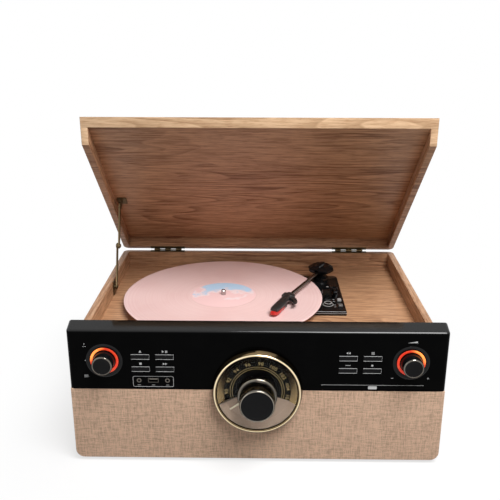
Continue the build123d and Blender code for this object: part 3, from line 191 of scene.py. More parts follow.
def lathed(name: str, profile: Profile, at: Point, way: Way, steps: int = 96) -> bpy.types.Object:
    """Turns a profile of (radius, height) about an axis.

    Args:
        name: The piece's name.
        profile: Points in order. Ends on the axis close the form, other ends are joined to make a ring.
        at: Where height zero lies on the axis, in cabinet millimetres.
        way: The axis.
        steps: How many sides the circle has.

    Returns:
        The turned piece.
    """
    axis = Vector(way.value)
    across = Vector((0, 0, 1)) if way is Way.RIGHT else Vector((1, 0, 0))
    other = axis.cross(across)
    turns = [2 * math.pi * step / steps for step in range(steps)]
    spokes = [across * math.cos(turn) + other * math.sin(turn) for turn in turns]
    origin = spot(*at)
    form = bmesh.new()
    rings = []
    for radius, height in profile:
        base = origin + axis * height * MM
        if radius < ON_AXIS:
            rings.append([form.verts.new(base)] * steps)
        else:
            rings.append([form.verts.new(base + spoke * radius * MM) for spoke in spokes])
    pairs = list(zip(rings, rings[1:]))
    if profile[0][0] > ON_AXIS and profile[-1][0] > ON_AXIS:
        pairs.append((rings[-1], rings[0]))
    for low, high in pairs:
        for step in range(steps):
            following = (step + 1) % steps
            corners = dict.fromkeys((low[step], low[following], high[following], high[step]))
            if len(corners) > 2:
                form.faces.new(list(corners))
    return as_piece(name, form)


def walled(form: bmesh.types.BMesh, low: list[bmesh.types.BMVert], high: list[bmesh.types.BMVert]) -> None:
    """Joins two closed rows of corners with faces.

    Args:
        form: The mesh to add to.
        low: One row.
        high: The other, with the same number of corners.
    """
    for index in range(len(low)):
        after = (index + 1) % len(low)
        form.faces.new((low[index], low[after], high[after], high[index]))


def lofted(name: str, sections: Sequence[Sequence[Vector]], sharp: float = 40.0) -> bpy.types.Object:
    """Skins a row of closed sections and caps both ends.

    Args:
        name: The piece's name.
        sections: Rows of corners in metres of the frame, each with the same number of them.
        sharp: Edges that turn by more degrees than this stay crisp.

    Returns:
        The skinned piece.
    """
    form = bmesh.new()
    loops = [[form.verts.new(point) for point in section] for section in sections]
    for low, high in zip(loops, loops[1:]):
        walled(form, low, high)
    form.faces.new(loops[0])
    form.faces.new(loops[-1])
    return as_piece(name, form, sharp)


def raised(name: str, outline: Profile, back: float, front: float) -> bpy.types.Object:
    """Makes a thin plate on the front of the cabinet from an (x, z) outline, between two y values."""
    return lofted(name, [[spot(x, y, z) for x, z in outline] for y in (back, front)], 30.0)


def laid(name: str, outline: Profile, low: float, high: float) -> bpy.types.Object:
    """Makes a thin flat plate from an (x, y) outline, between two heights."""
    return lofted(name, [[spot(x, y, z) for x, y in outline] for z in (low, high)], 30.0)


def oblong(x: Flat, z: Flat, corner: float = 0.0) -> list[Flat]:
    """Returns an upright rectangle's outline, with its corners rounded by the given length."""
    outline = [(x[0], z[0]), (x[1], z[0]), (x[1], z[1]), (x[0], z[1])]
    return softened(outline, corner, True) if corner else outline


def bar_at(x: float, z: float, wide: float, high: float) -> list[Flat]:
    """Returns an upright rectangle's outline from its middle, half its width and half its height."""
    return oblong((x - wide, x + wide), (z - high, z + high))


def disc(x: float, z: float, radius: float, steps: int = 20) -> list[Flat]:
    """Returns a circle's outline."""
    turns = [2 * math.pi * step / steps for step in range(steps)]
    return [(x + radius * math.cos(turn), z + radius * math.sin(turn)) for turn in turns]


def stepped(start: Flat, heading: float, along: float, across: float) -> Flat:
    """Returns the place reached from a start on the deck.

    Args:
        start: The start in x and y.
        heading: The direction to go in, in degrees from the cabinet's right.
        along: How far to go that way.
        across: How far to go to its left.

    Returns:
        The place in x and y.
    """
    turn = math.radians(heading)
    x = start[0] + along * math.cos(turn) - across * math.sin(turn)
    return x, start[1] + along * math.sin(turn) + across * math.cos(turn)


def moved(outline: Profile, x: float, wide: float = 1.0) -> list[Flat]:
    """Returns an outline widened by a factor and then moved sideways."""
    return [(a * wide + x, b) for a, b in outline]


def eased(
    name: str,
    node: str,
    radius: float,
    chosen: Callable[[bmesh.types.BMEdge], bool] | None = None,
    steps: int = 2,
    sharp: float = 35.0,
) -> bpy.types.Object:
    """Copies a frame node's form and breaks its edges.

    Args:
        name: The new piece's name.
        node: The frame node that gives the form.
        radius: The width of the broken edge in millimetres.
        chosen: Picks the edges, or None for every edge that turns by more than 40 degrees.
        steps: How many facets the broken edge has.
        sharp: Edges that turn by more degrees than this stay crisp.

    Returns:
        The new piece.
    """
    form = bmesh.new()
    form.from_mesh(frame["nodes"][node].data)
    bmesh.ops.remove_doubles(form, verts=form.verts, dist=WELD)
    bmesh.ops.dissolve_limit(form, angle_limit=FLAT_TURN, verts=form.verts, edges=form.edges)
    shared = [edge for edge in form.edges if len(edge.link_faces) == 2]
    turned = [edge for edge in shared if edge.calc_face_angle(0) > BROKEN_TURN]
    picked = [edge for edge in turned if chosen is None or chosen(edge)]
    settings = {"affect": "EDGES", "profile": 0.6, "clamp_overlap": True}
    bmesh.ops.bevel(form, geom=picked, offset=radius * MM, segments=steps, **settings)
    return as_piece(name, form, sharp)


def gathered(name: str, parts: Iterable[bpy.types.Object], sharp: float = 35.0) -> bpy.types.Object:
    """Joins small forms into one piece and removes the originals.

    Args:
        name: The piece's name.
        parts: The small forms.
        sharp: Edges that turn by more degrees than this stay crisp.

    Returns:
        The joined piece.
    """
    form = bmesh.new()
    for part in parts:
        form.from_mesh(part.data)
        bpy.data.objects.remove(part)
    return as_piece(name, form, sharp)


# -------------------------------------------------------------------------------------- shader tools
class Canvas:
    """Adds nodes to one node tree and joins them."""

    def __init__(self, tree: bpy.types.NodeTree) -> None:
        """Remembers the tree to work in."""
        self.tree = tree

    def add(self, kind: str, inputs: dict | None = None, **settings: object) -> bpy.types.Node:
        """Adds one node.

        Args:
            kind: The node's type without its ShaderNode prefix.
            inputs: Values or output sockets by input name or number.
            settings: The node's own properties.

        Returns:
            The new node.
        """
        node = self.tree.nodes.new(kind if kind.startswith("Node") else "ShaderNode" + kind)
        for key, value in settings.items():
            setattr(node, key, value)
        for key, value in (inputs or {}).items():
            self.feed(node.inputs[key], value)
        return node

    def feed(self, socket: Socket, value: object) -> None:
        """Links an output to a socket, or sets the socket's own value.

        Args:
            socket: The input socket.
            value: An output socket, a number, a vector or a colour.
        """
        if isinstance(value, Socket):
            self.tree.links.new(value, socket)
        elif socket.type == "RGBA" and len(value) == 3:
            socket.default_value = (*value, 1.0)
        else:
            socket.default_value = value

    def math(self, kind: str, a: object, b: object = 0.0) -> Socket:
        """Adds one step of arithmetic and returns its result."""
        return self.add("Math", {0: a, 1: b}, operation=kind).outputs[0]

    def plus(self, a: object, b: object) -> Socket:
        """Adds two values."""
        return self.math("ADD", a, b)

    def minus(self, a: object, b: object) -> Socket:
        """Takes the second value from the first."""
        return self.math("SUBTRACT", a, b)

    def times(self, a: object, b: object) -> Socket:
        """Multiplies two values."""
        return self.math("MULTIPLY", a, b)

    def vector(self, kind: str, a: object, b: object = (0, 0, 0)) -> Socket:
        """Adds one step of vector arithmetic and returns its result."""
        node = self.add("VectorMath", {0: a, 1: b}, operation=kind)
        return node.outputs["Value" if kind in ("LENGTH", "DOT_PRODUCT") else "Vector"]

    def split(self, value: object) -> bpy.types.bpy_prop_collection:
        """Returns a vector's X, Y and Z by name."""
        return self.add("SeparateXYZ", {0: value}).outputs

    def joined(self, x: object, y: object = 0.0, z: object = 0.0) -> Socket:
        """Returns the vector of three values."""
        return self.add("CombineXYZ", {0: x, 1: y, 2: z}).outputs[0]

    def mix(self, share: object, a: object, b: object, kind: str = "MIX") -> Socket:
        """Mixes two colours and returns the result."""
        return self.add("Mix", {0: share, 6: a, 7: b}, data_type="RGBA", blend_type=kind).outputs[2]

    def between(self, share: object, a: object, b: object) -> Socket:
        """Mixes two numbers and returns the result."""
        return self.add("Mix", {0: share, 2: a, 3: b}, data_type="FLOAT").outputs[0]

    def span(self, value: object, low: Flat, to: Flat = (0.0, 1.0)) -> Socket:
        """Maps a value's stretch onto another one, smoothly and held at its ends."""
        sockets = {"Value": value, 1: low[0], 2: low[1], 3: to[0], 4: to[1]}
        return self.add("MapRange", sockets, interpolation_type="SMOOTHSTEP").outputs[0]

    def noise(self, place: object, scale: float, detail: float = 3.0, rough: float = 0.55) -> Socket:
        """Adds a noise pattern and returns its value."""
        sockets = {"Vector": place, "Scale": scale, "Detail": detail, "Roughness": rough}
        return self.add("TexNoise", sockets).outputs["Fac"]

    def place(self) -> Socket:
        """Returns the surface point in metres of the frame."""
        return self.add("TexCoord").outputs["Object"]

    def upward(self) -> Socket:
        """Returns how far the surface faces up, from minus one to one."""
        return self.split(self.add("NewGeometry").outputs["Normal"])["Z"]

    def group(self, tree: bpy.types.NodeTree, inputs: dict) -> bpy.types.bpy_prop_collection:
        """Places a shared group and returns its outputs by name."""
        return self.add("Group", inputs, node_tree=tree).outputs

    def relief(self, height: object, depth: float) -> Socket:
        """Returns the normal of a surface with fine relief, whose depth is given in millimetres."""
        return self.add("Bump", {"Strength": 1.0, "Distance": depth * MM, "Height": height}).outputs[0]


def canvas_of(owner: bpy.types.Material | bpy.types.World) -> Canvas:
    """Empties the nodes of a material or a world.

    Args:
        owner: The material or the world.

    Returns:
        A canvas on its nodes.
    """
    owner.use_nodes = True
    owner.node_tree.nodes.clear()
    return Canvas(owner.node_tree)


class Effects:
    """The shader groups that several finishes share."""

    def __init__(self) -> None:
        """Builds every group once."""
        self.oak = self._oak()
        self.weave = self._weave()
        self.handled = self._handled()
        self.rings = self._rings()

    @staticmethod
    def _opened(name: str, inputs: dict[str, str]) -> tuple[Canvas, dict[str, Socket]]:
        """Makes an empty group with named inputs.

        Args:
            name: The group's name.
            inputs: Socket kinds by name.

        Returns:
            A canvas and the inside ends of the inputs by name.
        """
        tree = bpy.data.node_groups.new(name, "ShaderNodeTree")
        for label, kind in inputs.items():
            tree.interface.new_socket(name=label, in_out="INPUT", socket_type="NodeSocket" + kind)
        canvas = Canvas(tree)
        given = canvas.add("NodeGroupInput").outputs
        return canvas, {label: given[label] for label in inputs}

    @staticmethod
    def _closed(canvas: Canvas, results: dict[str, Socket]) -> bpy.types.NodeTree:
        """Gives a group its named outputs.

        Args:
            canvas: The group's canvas.
            results: What it puts out, by name.

        Returns:
            The finished group.
        """
        for label, result in results.items():
            kind = "Color" if result.type == "RGBA" else "Float"
            canvas.tree.interface.new_socket(name=label, in_out="OUTPUT", socket_type="NodeSocket" + kind)
        canvas.add("NodeGroupOutput", results)
        return canvas.tree

    def _oak(self) -> bpy.types.NodeTree:
        """Oak figure: arched growth rings, streaks and short dark pores.

        Returns:
            The finished group.
        """
        sockets = {"Vector": "Vector", "Squeeze": "Vector", "Light": "Color", "Dark": "Color"}
        canvas, given = self._opened("oak_figure", sockets)
        place = canvas.vector("MULTIPLY", given["Vector"], given["Squeeze"])
        growth = canvas.noise(place, scale=2.4, detail=1.0, rough=0.35)
        drawn_out = canvas.mix(0.12, place, canvas.vector("MULTIPLY", place, given["Squeeze"]))
        streaks = canvas.noise(drawn_out, scale=20.0, detail=4.0, rough=0.55)
        ring = canvas.math("FRACT", canvas.plus(canvas.times(growth, 17.0), canvas.times(streaks, 0.22)))
        ring_end = canvas.span(ring, (0.9, 1.0), to=(1.0, 0.0))
        arches = canvas.times(canvas.math("POWER", ring, 1.7), ring_end)
        pores = canvas.span(canvas.noise(drawn_out, scale=64.0, detail=2.0), (0.5, 0.66))
        patches = canvas.noise(given["Vector"], scale=5.0, detail=1.0)
        share = canvas.times(arches, canvas.span(patches, (0.42, 0.6), to=(0.12, 0.85)))
        share = canvas.plus(share, canvas.span(streaks, (0.38, 0.66), to=(0.0, 0.5)))
        colour = canvas.mix(share, given["Light"], given["Dark"])
        return self._closed(canvas, {
            "Color": canvas.mix(canvas.times(pores, 0.36), colour, given["Dark"], "MULTIPLY"),
            "Roughness": canvas.span(streaks, (0.3, 0.7), to=(0.4, 0.58)),
            "Height": canvas.minus(canvas.times(streaks, 0.3), pores),
        })

    def _weave(self) -> bpy.types.NodeTree:
        """Plain weave of uneven threads, running upright and across.

        Returns:
            The finished group.
        """
        sockets = {"Vector": "Vector", "Threads": "Float", "Light": "Color", "Dark": "Color"}
        canvas, given = self._opened("uneven_weave", sockets)
        parts = canvas.split(given["Vector"])
        across = canvas.times(canvas.plus(parts["X"], parts["Y"]), given["Threads"])
        upright = canvas.times(parts["Z"], given["Threads"])
        row_a, crown_a, tone_a = self._strands(canvas, across, upright, 2.0)
        row_b, crown_b, tone_b = self._strands(canvas, upright, across, 9.0)
        over = canvas.math("MODULO", canvas.math("ABSOLUTE", canvas.plus(row_a, row_b)), 2.0)
        crown = canvas.between(over, crown_a, crown_b)
        tone = canvas.between(over, tone_a, tone_b)
        both = canvas.plus(canvas.plus(tone_a, tone_b), tone)
        rounded = canvas.span(crown, (0.0, 0.75), to=(0.3, 1.0))
        lift = canvas.times(canvas.span(both, (0.95, 1.85)), rounded)
        return self._closed(canvas, {
            "Color": canvas.mix(lift, given["Dark"], given["Light"]),
            "Roughness": canvas.span(tone, (0.3, 0.7), to=(0.78, 0.95)),
            "Height": canvas.times(crown, canvas.span(both, (0.9, 2.0), to=(0.5, 1.0))),
        })

    @staticmethod
    def _strands(canvas: Canvas, along: Socket, over: Socket, seed: float) -> tuple[Socket, Socket, Socket]:
        """Makes one set of parallel threads.

        Args:
            canvas: The weave's canvas.
            along: Position along the threads, in threads.
            over: Position across them.
            seed: Sets one set's unevenness apart from the other's.

        Returns:
            The thread's number, the round of its top and its own tone.
        """
        row = canvas.math("FLOOR", over)
        crown = canvas.math("ABSOLUTE", canvas.math("SINE", canvas.times(over, math.pi)))
        own = canvas.joined(canvas.times(along, 0.045), canvas.times(row, 3.7), seed)
        return row, crown, canvas.noise(own, scale=1.6, detail=3.0, rough=0.6)

    def _handled(self) -> bpy.types.NodeTree:
        """Slight clouding, fine moulding texture and settled dust on a used surface.

        Returns:
            The finished group.
        """
        sockets = {"Vector": "Vector", "Base": "Color", "Cloud": "Color"}
        sockets |= {"Amount": "Float", "Gloss": "Float", "Dust": "Float"}
        canvas, given = self._opened("handled_surface", sockets)
        cloud = canvas.noise(given["Vector"], scale=38.0, detail=4.0, rough=0.6)
        specks = canvas.noise(given["Vector"], scale=2600.0, detail=1.0)
        drift = canvas.times(canvas.span(cloud, (0.4, 0.7)), given["Amount"])
        colour = canvas.mix(drift, given["Base"], given["Cloud"])
        flecks = canvas.span(canvas.noise(given["Vector"], scale=900.0, detail=2.0), (0.6, 0.72))
        settled = canvas.times(canvas.span(canvas.upward(), (0.5, 0.95)), flecks)
        dusty = canvas.times(settled, given["Dust"])
        rough = canvas.plus(given["Gloss"], canvas.times(canvas.minus(cloud, 0.5), 0.12))
        return self._closed(canvas, {
            "Color": canvas.mix(dusty, colour, DUST_GREY),
            "Roughness": canvas.math("MAXIMUM", canvas.plus(rough, dusty), 0.02),
            "Height": canvas.plus(cloud, canvas.times(specks, 0.25)),
        })

    def _rings(self) -> bpy.types.NodeTree:
        """Fine rings about an axis, as turning marks or record grooves.

        Returns:
            The finished group.
        """
        sockets = {"Vector": "Vector", "Centre": "Vector", "Plane": "Vector", "Lines": "Float"}
        canvas, given = self._opened("turned_rings", sockets)
        away = canvas.vector("SUBTRACT", given["Vector"], given["Centre"])
        radius = canvas.vector("LENGTH", canvas.vector("MULTIPLY", away, given["Plane"]))
        wave = canvas.math("SINE", canvas.times(canvas.times(radius, given["Lines"]), 2 * math.pi))
        reach = canvas.joined(canvas.times(radius, 400.0))
        return self._closed(canvas, {
            "Radius": radius,
            "Lines": canvas.times(canvas.plus(wave, 1.0), 0.5),
            "Bands": canvas.noise(reach, scale=1.0, detail=5.0, rough=0.7),
        })


EFFECTS = Effects()


# ------------------------------------------------------------------------------------------ finishes
@dataclass(frozen=True)
class Finish:
    """A surface finish.

    Attributes:
        name: The name of its material.
    """

    name: str

    def paint(self, canvas: Canvas) -> dict[str, object]:
        """Adds the finish's nodes.

        Args:
            canvas: The material's canvas.

        Returns:
            What the shader's inputs take, by name.
        """
        raise NotImplementedError


@cache
def material_of(finish: Finish) -> bpy.types.Material:
    """Makes a finish into a material, once.

    Args:
        finish: The finish.

    Returns:
        Its material.
    """
    made = bpy.data.materials.new(finish.name)
    canvas = canvas_of(made)
    shader = canvas.add("BsdfPrincipled", finish.paint(canvas))
    canvas.add("OutputMaterial", {"Surface": shader.outputs[0]})
    return made


@dataclass(frozen=True)
class OakVinyl(Finish):
    """Board covered with oak patterned foil.

    Attributes:
        grain: Which way the figure runs.
        light: Colour of the pale wood.
        dark: Colour of the growth rings and pores.
        tilt: How far the figure is turned about the cabinet's width, in degrees.
        shift: Which stretch of the figure the board shows, in metres.
        pore_depth: Depth of the pores in millimetres.
    """

    grain: Grain
    light: Colour = (0.57, 0.325, 0.178)
    dark: Colour = (0.22, 0.098, 0.047)
    tilt: float = 0.0
    shift: Point = (0.0, 0.0, 0.0)
    pore_depth: float = 0.06

    def paint(self, canvas: Canvas) -> dict[str, object]:
        """Takes colour, roughness and pore relief from the oak group.

        Args:
            canvas: The material's canvas.

        Returns:
            What the shader's inputs take, by name.
        """
        turned = (math.radians(self.tilt), 0.0, 0.0)
        place = canvas.add("Mapping", {"Vector": canvas.place(), "Location": self.shift, "Rotation": turned})
        given = {"Vector": place.outputs[0], "Squeeze": self.grain.value}
        figure = canvas.group(EFFECTS.oak, given | {"Light": self.light, "Dark": self.dark})
        return {
            "Base Color": figure["Color"],
            "Roughness": figure["Roughness"],
            "Specular IOR Level": 0.35,
            "Normal": canvas.relief(figure["Height"], self.pore_depth),
        }


@dataclass(frozen=True)
class WovenCloth(Finish):
    """Loudspeaker cloth of uneven threads.

    Attributes:
        light: Colour of the raised threads.
        dark: Colour between them.
        pitch: Distance between threads in millimetres.
        depth: Depth of the weave in millimetres.
    """

    light: Colour
    dark: Colour
    pitch: float
    depth: float = 0.25

    def paint(self, canvas: Canvas) -> dict[str, object]:
        """Takes colour, roughness and thread relief from the weave group.

        Args:
            canvas: The material's canvas.

        Returns:
            What the shader's inputs take, by name.
        """
        given = {"Vector": canvas.place(), "Threads": 1 / (self.pitch * MM)}
        weave = canvas.group(EFFECTS.weave, given | {"Light": self.light, "Dark": self.dark})
        return {
            "Base Color": weave["Color"],
            "Roughness": weave["Roughness"],
            "Sheen Weight": 0.15,
            "Normal": canvas.relief(weave["Height"], self.depth),
        }


@dataclass(frozen=True)
class Moulding(Finish):
    """Moulded, painted or plated surface.

    Attributes:
        base: Main colour.
        cloud: Colour it drifts towards.
        gloss: Roughness.
        amount: How far it drifts.
        dust: How much dust lies on its upward faces.
        specular: Specular level.
        top_specular: Specular level of its upward faces, or none where it is the same.
        depth: Depth of its texture in millimetres.
        metallic: Whether it is metal.
        flank: Colour painted where the surface turns away from the view, as painted dark reflection, or
            none.
        lines: Turning marks per metre, or none.
        centre: A point on the turning axis, in metres of the frame.
        plane: Ones for the axes that the turning marks lie in.
    """

    base: Colour
    cloud: Colour
    gloss: float
    amount: float = 0.4
    dust: float = 0.1
    specular: float = 0.5
    top_specular: float = 0.0
    depth: float = 0.006
    metallic: bool = False
    flank: Colour | None = None
    lines: float = 0.0
    centre: Point = (0.0, 0.0, 0.0)
    plane: Point = (1.0, 1.0, 0.0)

    def paint(self, canvas: Canvas) -> dict[str, object]:
        """Takes colour, roughness and texture from the handled group, and turning marks if it has any.

        Args:
            canvas: The material's canvas.

        Returns:
            What the shader's inputs take, by name.
        """
        place = canvas.place()
        given = {"Vector": place, "Base": self.base, "Cloud": self.cloud, "Amount": self.amount}
        given |= {"Gloss": self.gloss, "Dust": self.dust}
        surface = canvas.group(EFFECTS.handled, given)
        colour, height, specular = surface["Color"], surface["Height"], self.specular
        if self.lines:
            given = {"Vector": place, "Centre": self.centre, "Plane": self.plane, "Lines": self.lines}
            marks = canvas.group(EFFECTS.rings, given)["Lines"]
            height = canvas.plus(height, canvas.times(marks, 1.5))
        # Painted dark reflection: the colour darkens where the surface turns away from the view.
        if self.flank:
            away = canvas.add("LayerWeight", {"Blend": 0.5}).outputs["Facing"]
            colour = canvas.mix(canvas.span(away, (0.12, 0.55)), colour, self.flank)
        if self.top_specular:
            specular = canvas.span(canvas.upward(), (0.25, 0.8), to=(self.specular, self.top_specular))
        return {
            "Base Color": colour,
            "Roughness": surface["Roughness"],
            "Metallic": float(self.metallic),
            "Specular IOR Level": specular,
            "Normal": canvas.relief(height, self.depth),
        }


@dataclass(frozen=True)
class Felt(Finish):
    """Pressed fibre mat.

    Attributes:
        light: Colour of the raised fibres.
        dark: Colour between them.
        depth: Depth of the fibres in millimetres.
    """

    light: Colour
    dark: Colour
    depth: float = 0.15

    def paint(self, canvas: Canvas) -> dict[str, object]:
        """Makes a tangle of fibres.

        Args:
            canvas: The material's canvas.

        Returns:
            What the shader's inputs take, by name.
        """
        drawn = canvas.vector("MULTIPLY", canvas.place(), (1.0, 3.0, 1.0))
        fibres = canvas.noise(drawn, scale=900.0, detail=4.0, rough=0.7)
        return {
            "Base Color": canvas.mix(canvas.span(fibres, (0.35, 0.65)), self.dark, self.light),
            "Roughness": canvas.span(fibres, (0.3, 0.7), to=(0.85, 1.0)),
            "Sheen Weight": 0.3,
            "Normal": canvas.relief(fibres, self.depth),
        }


@dataclass(frozen=True)
class GroovedVinyl(Finish):
    """Coloured record vinyl with its grooves.

    Attributes:
        base: Main colour.
        deep: Colour of the denser bands.
        centre: The middle of the record, in metres of the frame.
        grooves: Grooves per metre of radius.
        depth: Their depth in millimetres.
    """

    base: Colour
    deep: Colour
    centre: Point
    grooves: float = 1900.0
    depth: float = 0.012

    def paint(self, canvas: Canvas) -> dict[str, object]:
        """Makes bands of differing groove pitch and the round highlight that grooves give.

        Args:
            canvas: The material's canvas.

        Returns:
            What the shader's inputs take, by name.
        """
        place = canvas.place()
        given = {"Vector": place, "Centre": self.centre, "Plane": (1.0, 1.0, 0.0), "Lines": self.grooves}
        rings = canvas.group(EFFECTS.rings, given)
        haze = canvas.span(canvas.noise(place, scale=12.0), (0.4, 0.7))
        share = canvas.times(canvas.plus(canvas.span(rings["Bands"], (0.4, 0.62)), haze), 0.35)
        return {
            "Base Color": canvas.mix(share, self.base, self.deep),
            "Roughness": canvas.span(rings["Bands"], (0.35, 0.65), to=(0.3, 0.4)),
            "Anisotropic": 0.6,
            "Tangent": canvas.add("Tangent", direction_type="RADIAL", axis="Z").outputs[0],
            "Normal": canvas.relief(rings["Lines"], self.depth),
        }


@dataclass(frozen=True)
class PrintedLabel(Finish):
    """Paper label with a soft pattern of pastel clouds.

    Attributes:
        warm: Colour of the ground.
        cool: Colour of the clouds.
        pale: Colour of their edges.
        centre: The middle of the label, in metres of the frame.
        border: Radii between which the print fades to the ground, in metres.
        depth: Depth of the paper's texture in millimetres.
    """

    warm: Colour
    cool: Colour
    pale: Colour
    centre: Point
    border: Flat = (0.046, 0.049)
    depth: float = 0.01

    def paint(self, canvas: Canvas) -> dict[str, object]:
        """Makes the printed pattern.

        Args:
            canvas: The material's canvas.

        Returns:
            What the shader's inputs take, by name.
        """
        place = canvas.place()
        given = {"Vector": place, "Centre": self.centre, "Plane": (1.0, 1.0, 0.0), "Lines": 120.0}
        rings = canvas.group(EFFECTS.rings, given)
        rise = canvas.times(canvas.split(canvas.vector("SUBTRACT", place, self.centre))["Y"], 5.0)
        clouds = canvas.plus(canvas.noise(place, scale=30.0, detail=4.0, rough=0.6), rise)
        edges = canvas.span(canvas.math("ABSOLUTE", canvas.minus(clouds, 0.56)), (0.0, 0.09), to=(1.0, 0.0))
        colour = canvas.mix(canvas.span(clouds, (0.54, 0.68)), self.warm, self.cool)
        colour = canvas.mix(canvas.times(edges, 0.6), colour, self.pale)
        return {
            "Base Color": canvas.mix(canvas.span(rings["Radius"], self.border), colour, self.warm),
            "Roughness": canvas.span(rings["Bands"], (0.3, 0.7), to=(0.45, 0.6)),
            "Normal": canvas.relief(canvas.noise(place, scale=1500.0, detail=2.0), self.depth),
        }


@dataclass(frozen=True)
class LitGuide(Finish):
    """Translucent ring lit from behind, brighter near its lamp.

    Attributes:
        deep: Colour far from the lamp.
        bright: Colour near it.
        lamp: Direction from a ring's middle to its lamp, outward and up.
        middle: How far each ring's middle lies from the middle of the cabinet, and its height, in metres.
        near: Distances towards the lamp over which the glow grows, in metres.
        depth: Depth of its texture in millimetres.
    """

    deep: Colour
    bright: Colour
    lamp: Flat
    middle: Flat
    near: Flat = (0.008, 0.017)
    depth: float = 0.02

    def paint(self, canvas: Canvas) -> dict[str, object]:
        """Makes the glow.

        Args:
            canvas: The material's canvas.

        Returns:
            What the shader's inputs take, by name.
        """
        place = canvas.place()
        parts = canvas.split(place)
        side = canvas.math("SIGN", parts["X"])
        outward = canvas.times(canvas.minus(parts["X"], canvas.times(side, self.middle[0])), side)
        upright = canvas.minus(parts["Z"], self.middle[1])
        reach = canvas.plus(canvas.times(outward, self.lamp[0]), canvas.times(upright, self.lamp[1]))
        near = canvas.span(reach, self.near)
        clouds = canvas.span(canvas.noise(place, scale=160.0, detail=2.0), (0.3, 0.7), to=(-0.15, 0.15))
        cloudy = canvas.plus(near, clouds)
        colour = canvas.mix(cloudy, self.deep, self.bright)
        return {
            "Base Color": colour,
            "Roughness": canvas.span(cloudy, (0.0, 1.0), to=(0.35, 0.25)),
            "Emission Color": colour,
            "Emission Strength": canvas.span(near, (0.0, 1.0), to=(0.5, 1.3)),
            "Normal": canvas.relief(canvas.noise(place, scale=700.0, detail=2.0), self.depth),
        }


@dataclass(frozen=True)
class ClearWindow(Finish):
    """Clear plastic window.

    Attributes:
        tint: Its faint colour.
        bending: How strongly it bends light.
    """

    tint: Colour
    bending: float = 1.12

    def paint(self, canvas: Canvas) -> dict[str, object]:
        """Makes a clear body with faint wiping marks.

        Args:
            canvas: The material's canvas.

        Returns:
            What the shader's inputs take, by name.
        """
        wiped = canvas.vector("MULTIPLY", canvas.place(), (1.0, 1.0, 5.0))
        marks = canvas.noise(wiped, scale=60.0, detail=4.0, rough=0.7)
        return {
            "Base Color": self.tint,
            "Roughness": canvas.span(marks, (0.45, 0.75), to=(0.0, 0.012)),
            "Transmission Weight": 1.0,
            "IOR": self.bending,
        }


@dataclass(frozen=True)
class CircuitBoard(Finish):
    """Green board with copper tracks, and the parts that stand on it.

    Attributes:
        axis: The axis that the board's thickness lies along.
        low: Where the board starts on that axis, in metres of the frame.
        thickness: How thick it is in metres.
        slack: How far the tracks reach past its faces in metres.
        depth: Depth of the tracks in millimetres.
        lacquer: Colour of the board.
        track: Colour of the tracks under it.
        dark_case: Colour of the black parts.
        pale_case: Colour of the grey parts.
    """

    axis: Axis
    low: float
    thickness: float = 0.0016
    slack: float = 0.0001
    depth: float = 0.03
    lacquer: Colour = (0.012, 0.09, 0.035)
    track: Colour = (0.05, 0.22, 0.08)
    dark_case: Colour = (0.02, 0.02, 0.022)
    pale_case: Colour = (0.28, 0.28, 0.29)

    def paint(self, canvas: Canvas) -> dict[str, object]:
        """Makes tracks within the board's thickness and cases outside it.

        Args:
            canvas: The material's canvas.

        Returns:
            What the shader's inputs take, by name.
        """
        place = canvas.place()
        level = canvas.split(place)[self.axis.value]
        above = canvas.math("GREATER_THAN", level, self.low + self.thickness + self.slack)
        below = canvas.math("LESS_THAN", level, self.low - self.slack)
        outside = canvas.math("MAXIMUM", above, below)
        cells = canvas.add("TexVoronoi", {"Vector": place, "Scale": 160.0}, feature="DISTANCE_TO_EDGE")
        tracks = canvas.span(cells.outputs["Distance"], (0.03, 0.06), to=(1.0, 0.0))
        board = canvas.mix(canvas.times(tracks, 0.6), self.lacquer, self.track)
        patches = canvas.span(canvas.noise(place, scale=24.0, detail=1.0), (0.45, 0.55))
        cases = canvas.mix(patches, self.dark_case, self.pale_case)
        return {
            "Base Color": canvas.mix(outside, board, cases),
            "Roughness": canvas.span(outside, (0.0, 1.0), to=(0.35, 0.5)),
            "Normal": canvas.relief(tracks, self.depth),
        }


def about(x: float, y: float) -> Point:
    """Returns an upright axis at a cabinet x and y, as a point in metres of the frame."""
    return tuple(spot(x, y, 0))


SPINDLE = pin_of("platter_spin")[:2]
PIVOT = pin_of("arm_swing")[:2]
DIAL_Z = pin_of("tuning_turn")[2]
KNOB_X, _, KNOB_Z = pin_of("volume_turn")
LID_SLOPE = joint_of("lid_hinge")["range_deg"][1]
DIAL_TURNED = {"lines": 4000.0, "centre": (0.0, 0.0, DIAL_Z * MM), "plane": (1.0, 0.0, 1.0), "depth": 0.002}
BRIGHT_METAL = {"metallic": True, "dust": 0.02}

# Wood, cloth, paper and rubber
OAK = OakVinyl("oak_foil", Grain.ALONG_X)
OAK_LID = OakVinyl("oak_foil_lid", Grain.ALONG_X, shift=(0.0, -0.12, 0.13))
OAK_LID_SIDE = OakVinyl("oak_foil_sloping", Grain.ALONG_Y, tilt=LID_SLOPE)
# Lighter oak for the lid's front edges: partly a real edge band, partly painted highlight where the lamp
# catches them.
OAK_EDGE_LIT = OakVinyl("oak_edge_band_painted_highlight", Grain.ALONG_X, (0.84, 0.57, 0.35), (0.5, 0.3, 0.165))
OAK_DEEP = OakVinyl("oak_foil_deep", Grain.ALONG_Y)
CLOTH = WovenCloth("loudspeaker_cloth", (0.88, 0.59, 0.41), (0.46, 0.29, 0.19), 1.0)
FIBREBOARD = Moulding("raw_fibreboard", (0.30, 0.19, 0.11), (0.2, 0.12, 0.065), 0.85, amount=0.8, depth=0.08)
RUBBER = Moulding("foot_rubber", (0.02, 0.02, 0.02), (0.035, 0.034, 0.032), 0.8, depth=0.04)
PAPER_CONE = Moulding("paper_cone", (0.03, 0.029, 0.028), (0.055, 0.052, 0.05), 0.75, amount=0.8, depth=0.05)

